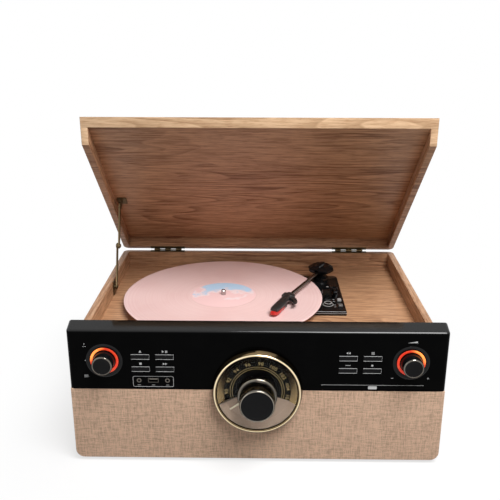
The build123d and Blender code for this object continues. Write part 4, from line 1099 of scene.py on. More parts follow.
# Blacks, from gloss to satin
PIANO_BLACK = Moulding(
    "piano_black", (0.0016, 0.0016, 0.0017), (0.003, 0.003, 0.003), 0.07,
    dust=0.04, specular=0.02, top_specular=0.42,
)
ARM_BLACK = Moulding(
    "arm_base_black", (0.004, 0.004, 0.0045), (0.008, 0.008, 0.008), 0.12,
    dust=0.05, specular=0.3,
)
HUB_BLACK = Moulding(
    "hub_black", (0.005, 0.005, 0.0055), (0.009, 0.009, 0.009), 0.1,
    dust=0.03, specular=0.25,
)
SATIN_BLACK = Moulding("satin_black", (0.014, 0.0135, 0.0135), (0.024, 0.023, 0.022), 0.32)
KNOB_BLACK = Moulding(
    "knob_black", (0.004, 0.004, 0.0045), (0.007, 0.007, 0.0075), 0.16,
    dust=0.02, specular=0.1,
)
DEEP_BLACK = Moulding(
    "dial_black", (0.003, 0.003, 0.003), (0.005, 0.0045, 0.004), 0.25,
    dust=0.0, specular=0.05,
)
TRIM_BLACK = Moulding(
    "trim_black_chrome", (0.008, 0.008, 0.0085), (0.016, 0.015, 0.015), 0.1,
    dust=0.02, specular=0.15, flank=(0.002, 0.002, 0.002),
)

# Metals
ANTIQUE = Moulding(
    "antique_bronze", (0.16, 0.115, 0.06), (0.055, 0.042, 0.026), 0.48, amount=0.7, metallic=True, depth=0.02
)
BRASS = Moulding("aged_brass", (0.42, 0.3, 0.13), (0.2, 0.13, 0.06), 0.34, metallic=True, depth=0.02)
STEEL = Moulding("bright_steel", (0.42, 0.41, 0.4), (0.3, 0.295, 0.29), 0.16, metallic=True)
DULL_STEEL = Moulding("dull_steel", (0.36, 0.36, 0.36), (0.24, 0.235, 0.23), 0.42, metallic=True, depth=0.02)
TUBE_METAL = Moulding("tube_metal", (0.2, 0.17, 0.15), (0.13, 0.11, 0.1), 0.26, metallic=True)
ALUMINIUM = Moulding(
    "turned_aluminium", (0.62, 0.62, 0.62), (0.5, 0.5, 0.5), 0.3,
    metallic=True, lines=1500.0, centre=about(*SPINDLE),
)
PULLEY_BRASS = Moulding(
    "turned_brass", (0.55, 0.4, 0.16), (0.4, 0.28, 0.1), 0.28,
    metallic=True, lines=2500.0, centre=about(*pin_of("pulley_spin")[:2]),
)
# Chrome darkened as painted dark reflection, for the tuning barrel, the small knobs' rings and the sockets.
CHROME_SHADED = Moulding(
    "chrome_painted_dark_reflection", (0.16, 0.145, 0.125), (0.09, 0.082, 0.072), 0.1,
    flank=(0.035, 0.03, 0.026), **BRIGHT_METAL,
)
# Lighter chrome for the tuning knob's edges, as painted highlight.
CHROME_LIT_EDGE = Moulding(
    "chrome_painted_highlight", (0.3, 0.27, 0.225), (0.2, 0.18, 0.15), 0.08,
    flank=(0.06, 0.052, 0.045), **BRIGHT_METAL,
)
# The dial's rim and cone take darkened copies of the gold as painted dark reflection, and its lip a pale
# copy as painted highlight.
RIM_GOLD_SHADED = Moulding(
    "rim_gold_painted_dark_reflection", (0.26, 0.18, 0.09), (0.15, 0.1, 0.05), 0.1,
    flank=(0.1, 0.075, 0.045), **BRIGHT_METAL,
)
LIP_GOLD_LIT = Moulding(
    "lip_gold_painted_highlight", (0.95, 0.79, 0.53), (0.8, 0.64, 0.4), 0.1,
    flank=(0.07, 0.045, 0.02), **BRIGHT_METAL, **DIAL_TURNED,
)
CONE_GOLD_SHADED = Moulding(
    "cone_gold_painted_dark_reflection", (0.34, 0.24, 0.12), (0.2, 0.135, 0.065), 0.2,
    flank=(0.03, 0.02, 0.01), **BRIGHT_METAL, **DIAL_TURNED,
)

# Print, painted highlights, switches and the dial's needle
GOLD_PRINT = Moulding("gold_print", (0.66, 0.48, 0.18), (0.52, 0.37, 0.13), 0.4, dust=0.0)
# Silver for print, and for the painted highlights along the button caps and the arm base's front edge.
SILVER_PRINT_AND_HIGHLIGHT = Moulding("silver_print_and_painted_highlight", (0.6, 0.6, 0.6), (0.48, 0.48, 0.48), 0.35, dust=0.0)
TAUPE = Moulding(
    "taupe_satin", (0.37, 0.27, 0.205), (0.26, 0.19, 0.145), 0.35,
    amount=0.6, dust=0.0, specular=0.25,
)
PALE = Moulding("pale_needle", (0.74, 0.66, 0.5), (0.6, 0.52, 0.38), 0.4, dust=0.0)
SWITCH_SILVER = Moulding("switch_silver", (0.3, 0.29, 0.28), (0.22, 0.215, 0.21), 0.3)
SWITCH_GREY = Moulding("switch_grey", (0.11, 0.105, 0.1), (0.07, 0.068, 0.065), 0.3)
STYLUS_RED = Moulding("stylus_red", (0.56, 0.022, 0.018), (0.42, 0.014, 0.012), 0.25)

# The record and its mat, the lit rings, the window and the circuits
FELT = Felt("black_felt", (0.045, 0.043, 0.042), (0.016, 0.015, 0.015))
VINYL = GroovedVinyl("pink_vinyl", (0.87, 0.63, 0.605), (0.76, 0.485, 0.465), about(*SPINDLE))
LABEL = PrintedLabel(
    "label_print", (0.86, 0.58, 0.57), (0.48, 0.66, 0.84), (0.90, 0.78, 0.79), about(*SPINDLE)
)
GLOW = LitGuide(
    "orange_glow", (0.72, 0.035, 0.012), (1.0, 0.27, 0.05), (0.75, 0.65), (KNOB_X * MM, KNOB_Z * MM)
)
WINDOW = ClearWindow("clear_window", (0.97, 0.97, 0.96))
MAIN_CIRCUIT = CircuitBoard("main_circuit", Axis.Z, 0.021)
CONTROL_CIRCUIT = CircuitBoard("control_circuit", Axis.Y, FRONT_Y + 0.012)


# ------------------------------------------------------------------------------------ sub-assemblies
@dataclass(frozen=True)
class Turning:
    """A form made on a lathe.

    Attributes:
        name: The piece's name.
        profile: Its points of radius and height.
        finish: What covers it.
        slot: The record's slot for that finish.
        steps: How many sides its circle has.
        stands_for: The frame node that it replaces, or nothing.
    """

    name: str
    profile: Profile
    finish: Finish
    slot: str
    steps: int = 96
    stands_for: str = ""


@dataclass
class SubAssembly:
    """A part of the music centre that makes its own pieces.

    Attributes:
        label: Its name in the log.
        pieces: The pieces made so far.
    """

    label: str
    pieces: list[bpy.types.Object] = field(default_factory=list)

    def build(self) -> None:
        """Makes the pieces."""
        raise NotImplementedError

    def dress(self) -> None:
        """Gives the frame nodes that stay in view their finishes."""

    def put(self, piece: bpy.types.Object, finish: Finish, slot: str, body: str, *stands_for: str) -> None:
        """Finishes a piece and joins it to the frame.

        Args:
            piece: The piece in its place.
            finish: What covers it.
            slot: The record's slot for that finish; not used.
            body: The body that it moves with.
            stands_for: Frame nodes that it replaces.
        """
        piece.data.materials.append(material_of(finish))
        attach(piece, body)
        if stands_for:
            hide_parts(*stands_for)
        self.pieces.append(piece)

    def ease(self, node: str, width: float, finish: Finish, slot: str, body: str) -> bpy.types.Object:
        """Puts a copy with broken edges in place of a frame node.

        Args:
            node: The frame node.
            width: Width of the broken edges.
            finish: What covers the copy.
            slot: The record's slot for that finish.
            body: The body that it moves with.

        Returns:
            The copy.
        """
        piece = eased(f"{node}_eased", node, width)
        self.put(piece, finish, slot, body, node)
        return piece

    def turn(self, form: Turning, at: Point, way: Way, body: str) -> None:
        """Makes a turned form and joins it to the frame.

        Args:
            form: The form.
            at: Where its height zero lies on the axis.
            way: The axis.
            body: The body that it moves with.
        """
        piece = lathed(form.name, form.profile, at, way, form.steps)
        nodes = [form.stands_for] if form.stands_for else []
        self.put(piece, form.finish, form.slot, body, *nodes)

    @staticmethod
    def keep(finish: Finish, *nodes: str) -> None:
        """Covers frame nodes with a finish."""
        for node in nodes:
            frame["nodes"][node].data.materials[0] = material_of(finish)


@dataclass
class Cabinet(SubAssembly):
    """Boards, cloth, bezel, feet and hinges.

    Attributes:
        side_edge: Width of the broken edges of the side boards.
        board_edge: Width of those of the other boards.
        cloth_round: Rounding of the cloth's front edges.
        cloth_flat: The cloth's flat width and height, in metres; not used.
    """

    side_edge: float = 0.5
    board_edge: float = 0.4
    cloth_round: float = 1.0
    cloth_flat: Flat = (0.5131, 0.121)

    def build(self) -> None:
        """Makes the boards with eased edges and the stretched cloth."""
        self.ease("side_boards", self.side_edge, OAK_DEEP, "oak_board", "cabinet")
        for node in ("rear_board", "deck_board", "front_rail", "base_board"):
            self.ease(node, self.board_edge, OAK, "oak_board", "cabinet")
        cloth = eased("grille_cloth_woven", "grille_cloth", self.cloth_round, self._on_front_edge, 3)
        self.put(cloth, CLOTH, "grille_cloth", "cabinet", "grille_cloth")

    @staticmethod
    def _on_front_edge(edge: bmesh.types.BMEdge) -> bool:
        """Tells whether an edge runs round the cloth's front face."""
        return all(vert.co.y < FRONT_Y + 0.05 * MM for vert in edge.verts)

    def dress(self) -> None:
        """Covers the board behind the cloth, the bezel, the feet, the screws and the hinges."""
        self.keep(FIBREBOARD, "front_baffle")
        self.keep(PIANO_BLACK, "front_bezel")
        self.keep(RUBBER, "rubber_feet")
        self.keep(DULL_STEEL, "fixing_screws")
        self.keep(ANTIQUE, "hinge_cabinet_leaves")


@dataclass
class Lid(SubAssembly):
    """The hinged lid.

    Attributes:
        edge: Width of its broken edges.
        sideways: How squarely a face looks to the side to show the turned figure.
        forward: How squarely a face looks to the front to take the lighter edge oak, partly a real edge band
            and partly painted highlight.
    """

    edge: float = 0.5
    sideways: float = 0.7
    forward: float = 0.95

    def build(self) -> None:
        """Makes the panel and its rails with eased edges, and gives each face the figure of its side; front
        faces take a lighter oak, partly edge band and partly painted highlight.
        """
        for node in ("lid_panel", "lid_rails"):
            board = self.ease(node, self.edge, OAK_LID, "oak_board", "lid")
            for finish in (OAK_LID_SIDE, OAK_EDGE_LIT):
                board.data.materials.append(material_of(finish))
            # Faces that look to the front take the lighter oak, partly edge band and partly painted
            # highlight.
            for face in board.data.polygons:
                to_side, lit_edge = abs(face.normal.x) > self.sideways, face.normal.y < -self.forward
                face.material_index = 1 if to_side else 2 if lit_edge else 0

    def dress(self) -> None:
        """Covers the hinge leaves and the stay's bracket."""
        self.keep(ANTIQUE, "hinge_lid_leaves", "stay_lid_bracket")


@dataclass
class FoldingStay(SubAssembly):
    """The two linked brass arms that hold the lid open.

    Attributes:
        edge: Width of the arms' broken edges.
        dome: Profile of a rivet's head.
        wall_x: Where the head on the wall pin starts.
        room_x: Where the other heads start.
    """

    edge: float = 0.25
    dome: Profile = ((0.0, 0.0), (3.1, 0.0), (3.1, 0.25), (2.6, 0.75), (1.5, 1.1), (0.0, 1.2))
    wall_x: float = -222.0
    room_x: float = -218.5

    def build(self) -> None:
        """Makes the arms and the domed rivets at their pins."""
        for arm in ("stay_lower", "stay_upper"):
            self.ease(f"{arm}_arm", self.edge, ANTIQUE, "stay_brass", arm)
        wall_pin, lid_pin = pin_of("stay_lower_pivot")[1:], pin_of("stay_upper_pivot")[1:]
        elbow = tuple((low + high) / 2 for low, high in zip(wall_pin, lid_pin))
        for name, place, body in (
            ("stay_rivet_wall", (self.wall_x, *wall_pin), "stay_lower"),
            ("stay_rivet_elbow", (self.room_x, *elbow), "stay_upper"),
            ("stay_rivet_lid", (self.room_x, *lid_pin), "stay_upper"),
        ):
            self.turn(Turning(name, self.dome, ANTIQUE, "stay_brass", 32), place, Way.RIGHT, body)

    def dress(self) -> None:
        """Covers the bracket on the wall."""
        self.keep(ANTIQUE, "stay_wall_bracket")


@dataclass
class RecordDrive(SubAssembly):
    """Platter, mat, record, spindle and the belt drive under them.

    Attributes:
        underside: Height of the record's underside.
        grooved: Profile of the record, with its raised rim and label ledge.
        paper: Profile of its label.
    """

    underside: float = 150.7
    grooved: Profile = (
        (3.6, 0.15), (149.9, 0.0), (150.8, 0.5), (150.8, 1.5), (149.9, 2.0), (147.6, 2.0), (146.4, 1.72),
        (54.0, 1.72), (52.6, 1.9), (51.0, 1.9), (50.4, 1.76), (3.6, 1.76),
    )
    paper: Profile = ((3.7, 1.74), (49.7, 1.74), (49.9, 1.8), (49.6, 1.86), (3.7, 1.86))

    def build(self) -> None:
        """Makes the record and its paper label."""
        at = (*SPINDLE, self.underside)
        record = Turning("record_grooved", self.grooved, VINYL, "record_vinyl", 256, "record")
        self.turn(record, at, Way.UP, "turntable")
        self.turn(Turning("record_label", self.paper, LABEL, "record_vinyl", 160), at, Way.UP, "turntable")

    def dress(self) -> None:
        """Covers the platter, the mat and the drive."""
        self.keep(ALUMINIUM, "platter")
        self.keep(FELT, "slip_mat")
        self.keep(STEEL, "spindle")
        self.keep(PULLEY_BRASS, "motor_pulley")
        self.keep(BRASS, "platter_bearing")
        self.keep(DULL_STEEL, "drive_motor")
        self.keep(RUBBER, "drive_belt")


@dataclass
class Tonearm(SubAssembly):
    """Base plate, hub, arm tube, headshell and cue lever.

    Attributes:
        heading: Direction of the tube from its pivot, in degrees from the cabinet's right.
        yaw: How far the headshell turns in from the tube, in degrees.
        root: Distance from the pivot to the headshell's root.
        plate_top: Height of the base plate's top.
        hub_top: Height of the hub's top.
        rest: Place of the arm rest in x and y.
        rest_rings: Profiles of the bright rings on the rest.
        screw: Profile of a screw's head.
        screws: Places of the screws.
        mark: Half the length and half the width of a mark by the switches.
        marks: Places of the marks.
        lip: Section of the silver band along the plate's front edge, a painted highlight of that edge, in y
            and z.
        lip_ends: Its ends in x.
        guard: Sections of the stylus guard: distance from the pivot, half width, low, high and corner.
        hood: Sections of the headshell's hood, in the same way.
        collar: Steps of its collar: distance from the root and half width.
        lift: Steps of its finger lift: distance from the pivot, distance across, half width and height.
        bridge: Sections of the block on the hub: distance from the pivot, half width and height.
    """

    heading: float = 243.0
    yaw: float = 3.0
    root: float = 121.0
    plate_top: float = 143.7
    hub_top: float = 171.0
    rest: Flat = (106.0, 186.97)
    rest_rings: tuple[Profile, ...] = (
        ((6.9, 1.3), (8.3, 1.3), (8.3, 1.6), (7.6, 2.0), (6.9, 1.8)),
        ((4.4, 4.3), (6.2, 4.3), (6.2, 4.6), (5.4, 5.0), (4.4, 4.8)),
    )
    screw: Profile = ((0.0, 0.0), (2.1, 0.0), (2.0, 0.4), (1.2, 0.75), (0.0, 0.85))
    screws: Sequence[Flat] = ((84.0, 168.0), (112.0, 262.0), (98.0, 240.0))
    mark: Flat = (1.4, 0.35)
    marks: Sequence[Flat] = ((116.5, 181.0), (116.5, 188.5), (116.5, 202.0), (116.5, 209.5))
    lip: Profile = ((159.9, 142.0), (163.0, 143.6), (163.2, 143.9), (159.8, 142.3))
    lip_ends: Flat = (76.0, 131.0)
    guard: Sequence[tuple[float, ...]] = (
        (155.0, 5.0, -6.6, -2.9, 0.5),
        (156.5, 5.8, -6.9, -2.5, 0.8),
        (178.0, 5.8, -6.9, -2.3, 0.8),
        (185.0, 4.9, -6.5, -1.8, 0.8),
        (189.0, 3.2, -4.9, -2.4, 0.5),
    )
    hood: Sequence[tuple[float, ...]] = (
        (136.5, 4.6, -0.5, 3.9, 1.6),
        (141.5, 6.9, -0.5, 5.4, 2.8),
        (160.0, 7.1, -0.5, 5.6, 3.4),
        (175.0, 6.8, -0.5, 5.2, 3.2),
        (181.0, 6.0, -0.5, 4.4, 2.2),
        (184.2, 5.0, -0.5, 3.0, 0.9),
    )
    collar: Sequence[Flat] = (
        (0.0, 4.6), (1.2, 5.4), (2.6, 5.6), (3.6, 9.4), (11.0, 9.4), (12.4, 5.6), (17.0, 4.8)
    )
    lift: Sequence[tuple[float, ...]] = (
        (133.0, 4.5, 4.2, 3.4),
        (134.0, 8.6, 4.0, 3.0),
        (136.8, 13.0, 3.7, 2.6),
        (141.5, 16.4, 3.3, 2.2),
        (147.0, 17.4, 2.7, 1.8),
        (151.5, 16.2, 1.7, 1.4),
    )
    bridge: Sequence[tuple[float, ...]] = (
        (-9.0, 3.2, 1.6),
        (-8.0, 4.4, 2.6),
        (-2.0, 5.4, 3.4),
        (6.0, 5.4, 3.4),
        (12.0, 4.2, 1.2),
        (13.0, 3.4, 0.2),
    )

    def on_shell(self, along: float, across: float, up: float) -> Vector:
        """Places a headshell point.

        Args:
            along: Distance from the pivot along the arm.
            across: Distance to the right of the arm, looking along it from above.
            up: Height above the tube's axis.

        Returns:
            The point in metres of the frame.
        """
        root = stepped(PIVOT, self.heading, self.root, 0.0)
        place = stepped(root, self.heading + self.yaw, along - self.root, across)
        return spot(*place, pin_of("arm_swing")[2] + up)

    def shell_section(
        self, along: float, half: float, low: float, high: float, corner: float
    ) -> list[Vector]:
        """Makes one six-sided section across the headshell.

        Args:
            along: Distance from the pivot.
            half: Half its width.
            low: Its lowest height above the tube's axis.
            high: Its highest.
            corner: How far its upper corners are cut.

        Returns:
            The section's rounded outline.
        """
        inner = half - corner * 1.3
        outline = [(-half, low), (half, low), (half, high - corner), (inner, high), (-inner, high)]
        outline.append((-half, high - corner))
        return [self.on_shell(along, across, up) for across, up in softened(outline, 0.5, True)]

    def head_section(self, along: float, half: float, high: float) -> list[Vector]:
        """Makes one section across the block on the hub, which lies along the arm.

        Args:
            along: Distance from the pivot.
            half: Half its width.
            high: Its height above the hub.

        Returns:
            The section's rounded outline.
        """
        outline = softened([(-half, -0.6), (half, -0.6), (half * 0.7, high), (-half * 0.7, high)], 0.8, True)
        return [spot(*stepped(PIVOT, self.heading, along, side), self.hub_top + up) for side, up in outline]

    def build(self) -> None:
        """Makes the base, the hub, the headshell, the cartridge, the lever and the switches."""
        self.ease("tonearm_base", 0.5, ARM_BLACK, "arm_base_gloss", "cabinet")
        hub = eased("arm_hub_faceted", "arm_hub", 0.7, sharp=12.0)
        self.put(hub, HUB_BLACK, "arm_black", "arm_head", "arm_hub")
        self.put(self._shell(), SATIN_BLACK, "arm_black", "arm", "headshell")
        self.ease("cartridge", 0.4, SATIN_BLACK, "cartridge_black", "arm")
        guard = lofted("stylus_guard", [self.shell_section(*row) for row in self.guard])
        self.put(guard, STYLUS_RED, "stylus_red", "arm")
        self.ease("cue_lever", 0.4, KNOB_BLACK, "lever_black", "cue")
        self.ease("speed_switch", 0.3, SWITCH_GREY, "switch_silver", "speed")
        self.ease("auto_stop_switch", 0.3, SWITCH_SILVER, "switch_silver", "auto_stop")
        self._plate_details()
        bridge = lofted("hub_bridge", [self.head_section(*row) for row in self.bridge], 20.0)
        self.put(bridge, HUB_BLACK, "arm_black", "arm_head")

    def _plate_details(self) -> None:
        """Makes the rings and screws on the base plate, the silver band along its front edge as painted
        highlight, and its marks.
        """
        top = self.plate_top
        bright = [lathed("ring", ring, (*self.rest, top), Way.UP, 48) for ring in self.rest_rings]
        bright += [lathed("screw", self.screw, (*place, top), Way.UP, 24) for place in self.screws]
        self.put(gathered("base_brightwork", bright), SWITCH_SILVER, "switch_silver", "cabinet")
        # Painted highlight: a silver band along the plate's front edge.
        highlight_strip = [[spot(x, y, z) for y, z in self.lip] for x in self.lip_ends]
        self.put(lofted("base_front_highlight", highlight_strip), SILVER_PRINT_AND_HIGHLIGHT, "arm_base_gloss", "cabinet")
        marks = [laid("mark", bar_at(*place, *self.mark), top - 0.1, top + 0.15) for place in self.marks]
        self.put(gathered("base_marks", marks), SILVER_PRINT_AND_HIGHLIGHT, "switch_silver", "cabinet")

    def _shell(self) -> bpy.types.Object:
        """Makes the headshell.

        Returns:
            The collar with its wings, the long hood and the hooked finger lift in one piece.
        """
        collar = [self.shell_section(self.root + step, half, -4.6, 4.9, 1.8) for step, half in self.collar]
        hood = [self.shell_section(*row) for row in self.hood]
        parts = [lofted("collar", collar), lofted("hood", hood), lofted("lift", self._lift_sections())]
        return gathered("headshell_hooded", parts)

    def _lift_sections(self) -> list[list[Vector]]:
        """Places the finger lift.

        Returns:
            Its sections, each square to its bent middle line.
        """
        sections = []
        for index, (along, across, wide, high) in enumerate(self.lift):
            before, after = self.lift[max(index - 1, 0)], self.lift[min(index + 1, len(self.lift) - 1)]
            run = Vector((after[0] - before[0], after[1] - before[1])).normalized()
            section = []
            for side, up in ((-wide, -0.5), (wide, -0.5), (wide * 0.8, high), (-wide * 0.8, high)):
                section.append(self.on_shell(along - run.y * side, across + run.x * side, up))
            sections.append(section)
        return sections

    def dress(self) -> None:
        """Covers the tube and the stylus holder."""
        self.keep(TUBE_METAL, "arm_tube")
        self.keep(STYLUS_RED, "stylus")


@dataclass
class RadioDial(SubAssembly):
    """Gold rim, scale, window, pointer and tuning knob.

    Attributes:
        rim: Profile of the rim, in a darkened gold as painted dark reflection.
        lip: Profile of its lip, in a pale copy of the gold as painted highlight.
        cone: Profile of the cone inside it, in a darkened gold as painted dark reflection.
        seal: Profile of the thin black ring at the window's edge, inside the rim.
        face: How far the scale stands in front of the bezel.
        hairlines: Radii of the two printed lines.
        numbers_at: Radius of the middle of the numbers.
        number_size: Height of their type.
        first_angle: Where the number 90 stands, in degrees from the right.
        number_step: Degrees from one megahertz to the next.
        sector: Profile of the plain lower part of the scale, which runs up the cone.
        sector_from: Where it starts, in degrees from the right.
        barrel: Profile of the tuning knob.
        knob_edges: Profiles of its edges, in a lighter chrome than the barrel as painted highlight.
        knob_face: Profile of its black face.
    """

    rim: Profile = (
        (51.5, 0.0), (57.3, 0.0), (57.5, 0.6), (57.4, 3.4), (56.9, 4.2), (55.6, 9.6), (54.8, 10.8),
        (53.8, 11.2), (52.6, 11.0), (51.7, 10.4), (51.5, 9.6), (42.4, 3.3), (51.5, 3.3),
    )
    lip: Profile = (
        (55.3, 9.4), (55.5, 10.2), (55.2, 11.2), (54.5, 11.85), (53.7, 12.0), (53.1, 11.7), (53.0, 11.0)
    )
    cone: Profile = ((42.5, 3.35), (51.4, 9.45), (51.4, 9.55), (42.35, 3.45))
    seal: Profile = ((50.7, 9.3), (51.6, 9.3), (51.6, 11.0), (50.9, 11.0))
    face: float = 3.0
    hairlines: Flat = (34.3, 31.7)
    numbers_at: float = 38.7
    number_size: float = 6.8
    first_angle: float = 181.0
    number_step: float = 12.17
    sector: Profile = (
        (23.0, 3.02), (42.3, 3.12), (42.4, 3.55), (51.2, 9.62), (51.2, 9.4), (42.7, 3.3), (23.0, 2.98)
    )
    sector_from: float = 198.0
    barrel: Profile = (
        (0.0, -9.0), (3.0, -9.0), (3.0, 4.5), (24.2, 4.5), (25.0, 5.4), (25.0, 16.2), (24.6, 17.3),
        (23.7, 17.9), (22.7, 18.2), (22.5, 19.0), (22.6, 20.0), (22.1, 36.4), (21.6, 38.6),
        (20.9, 39.6), (20.3, 40.0), (19.9, 39.7), (19.8, 39.1), (0.0, 39.1),
    )
    knob_edges: tuple[Profile, ...] = (
        ((25.05, 16.2), (24.75, 17.2), (24.4, 17.6), (24.4, 16.2)),
        ((22.65, 18.4), (22.75, 20.4), (22.3, 20.4)),
        ((21.0, 39.55), (20.35, 40.05), (19.95, 39.85), (20.3, 39.5)),
    )
    knob_face: Profile = (
        (0.0, 39.0), (19.75, 39.0), (19.75, 39.35), (19.3, 39.55), (12.0, 39.7), (0.0, 39.75)
    )

    def build(self) -> None:
        """Makes the rim with its cone, the printed scale, the lower sector and the knob."""
        at = (0.0, 0.0, DIAL_Z)
        # Rim and cone in darkened gold are painted dark reflection; the lip's pale gold is painted
        # highlight.
        for form in (
            Turning("dial_rim_turned", self.rim, RIM_GOLD_SHADED, "dial_gold", 160, "dial_rim"),
            Turning("dial_lip", self.lip, LIP_GOLD_LIT, "dial_gold", 160),
            Turning("dial_cone", self.cone, CONE_GOLD_SHADED, "dial_gold", 160),
            Turning("window_dark_ring", self.seal, DEEP_BLACK, "dial_black", 160),
        ):
            self.turn(form, at, Way.FRONT, "cabinet")
        lines = [lathed("line", self._line(radius), at, Way.FRONT, 120) for radius in self.hairlines]
        numbers = [self._number(value) for value in range(90, 107, 2)]
        self.put(gathered("dial_scale", lines + numbers), GOLD_PRINT, "dial_gold", "cabinet")
        self.put(self._sector(), TAUPE, "dial_black", "cabinet")
        knob = Turning("tuning_barrel", self.barrel, CHROME_SHADED, "trim_chrome", 128, "tuning_knob")
        self.turn(knob, at, Way.FRONT, "tuning")
        # Painted highlight: the knob's edges in a lighter chrome than its barrel.
        edges = [lathed("edge", edge, at, Way.FRONT, 128) for edge in self.knob_edges]
        self.put(gathered("tuning_highlight_edges", edges), CHROME_LIT_EDGE, "trim_chrome", "tuning")
        face = Turning("tuning_face", self.knob_face, KNOB_BLACK, "tuning_black")
        self.turn(face, at, Way.FRONT, "tuning")

    def _line(self, radius: float) -> Profile:
        """Returns the profile of one printed hairline."""
        return oblong((radius - 0.13, radius + 0.13), (self.face - 0.05, self.face + 0.12))

    def _number(self, value: int) -> bpy.types.Object:
        """Makes one frequency of the scale, standing on its spoke.

        Args:
            value: The frequency in megahertz.

        Returns:
            The number's form.
        """
        curve = bpy.data.curves.new("number", "FONT")
        curve.body, curve.size, curve.space_character = str(value), self.number_size * MM, 1.12
        curve.extrude, curve.offset, curve.resolution_u = 0.08 * MM, -0.15 * MM, 3
        curve.align_x, curve.align_y = "CENTER", "CENTER"
        text = bpy.data.objects.new("number", curve)
        mesh = bpy.data.meshes.new_from_object(text)
        bpy.data.objects.remove(text)
        angle = math.radians(self.first_angle - self.number_step * (value - 90))
        across, up = self.numbers_at * math.cos(angle), self.numbers_at * math.sin(angle)
        place = Matrix.Translation(spot(across, -self.face - 0.08, DIAL_Z + up))
        upright = Matrix.Rotation(math.pi / 2, 4, "X")
        mesh.transform(place @ upright @ Matrix.Rotation(angle - math.pi / 2, 4, "Z"))
        return bpy.data.objects.new("number", mesh)

    def _sector(self) -> bpy.types.Object:
        """Makes the plain lower part of the scale.

        Returns:
            The piece.
        """
        sections = []
        for step in range(49):
            angle = math.radians(self.sector_from + 3.0 * step)
            across, up = math.cos(angle), math.sin(angle)
            sections.append([spot(r * across, -height, DIAL_Z + r * up) for r, height in self.sector])
        return lofted("dial_sector", sections)

    def dress(self) -> None:
        """Covers the scale's face, the window and the pointer."""
        self.keep(DEEP_BLACK, "dial_face")
        self.keep(WINDOW, "dial_lens")
        self.keep(PALE, "tuning_pointer")


BAR = bar_at(0.0, 0.0, 0.28, 1.0)
ARROW = [(-0.7, -1.0), (0.9, 0.0), (-0.7, 1.0)]
SIGNS = {
    "left_outer_upper": [[(-1.0, -0.35), (1.0, -0.35), (0.0, 1.0)], oblong((-1.0, 1.0), (-1.0, -0.6))],
    "left_outer_lower": [bar_at(0.0, 0.0, 0.9, 0.9)],
    "left_inner_upper": [moved(ARROW, -1.2), moved(BAR, 0.9), moved(BAR, 1.9)],
    "left_inner_lower": [moved(ARROW, -0.9, 0.9), moved(ARROW, 0.9, 0.9)],
    "right_inner_upper": [moved(ARROW, -0.9, -0.9), moved(ARROW, 0.9, -0.9)],
    "right_inner_lower": [disc(x, 0.0, 0.42, 12) for x in (-1.5, 0.0, 1.5)],
    "right_outer_upper": [bar_at(0.0, z, 1.2, 0.18) for z in (-0.8, 0.0, 0.8)],
    "right_outer_lower": [disc(0.0, 0.0, 0.85)],
}


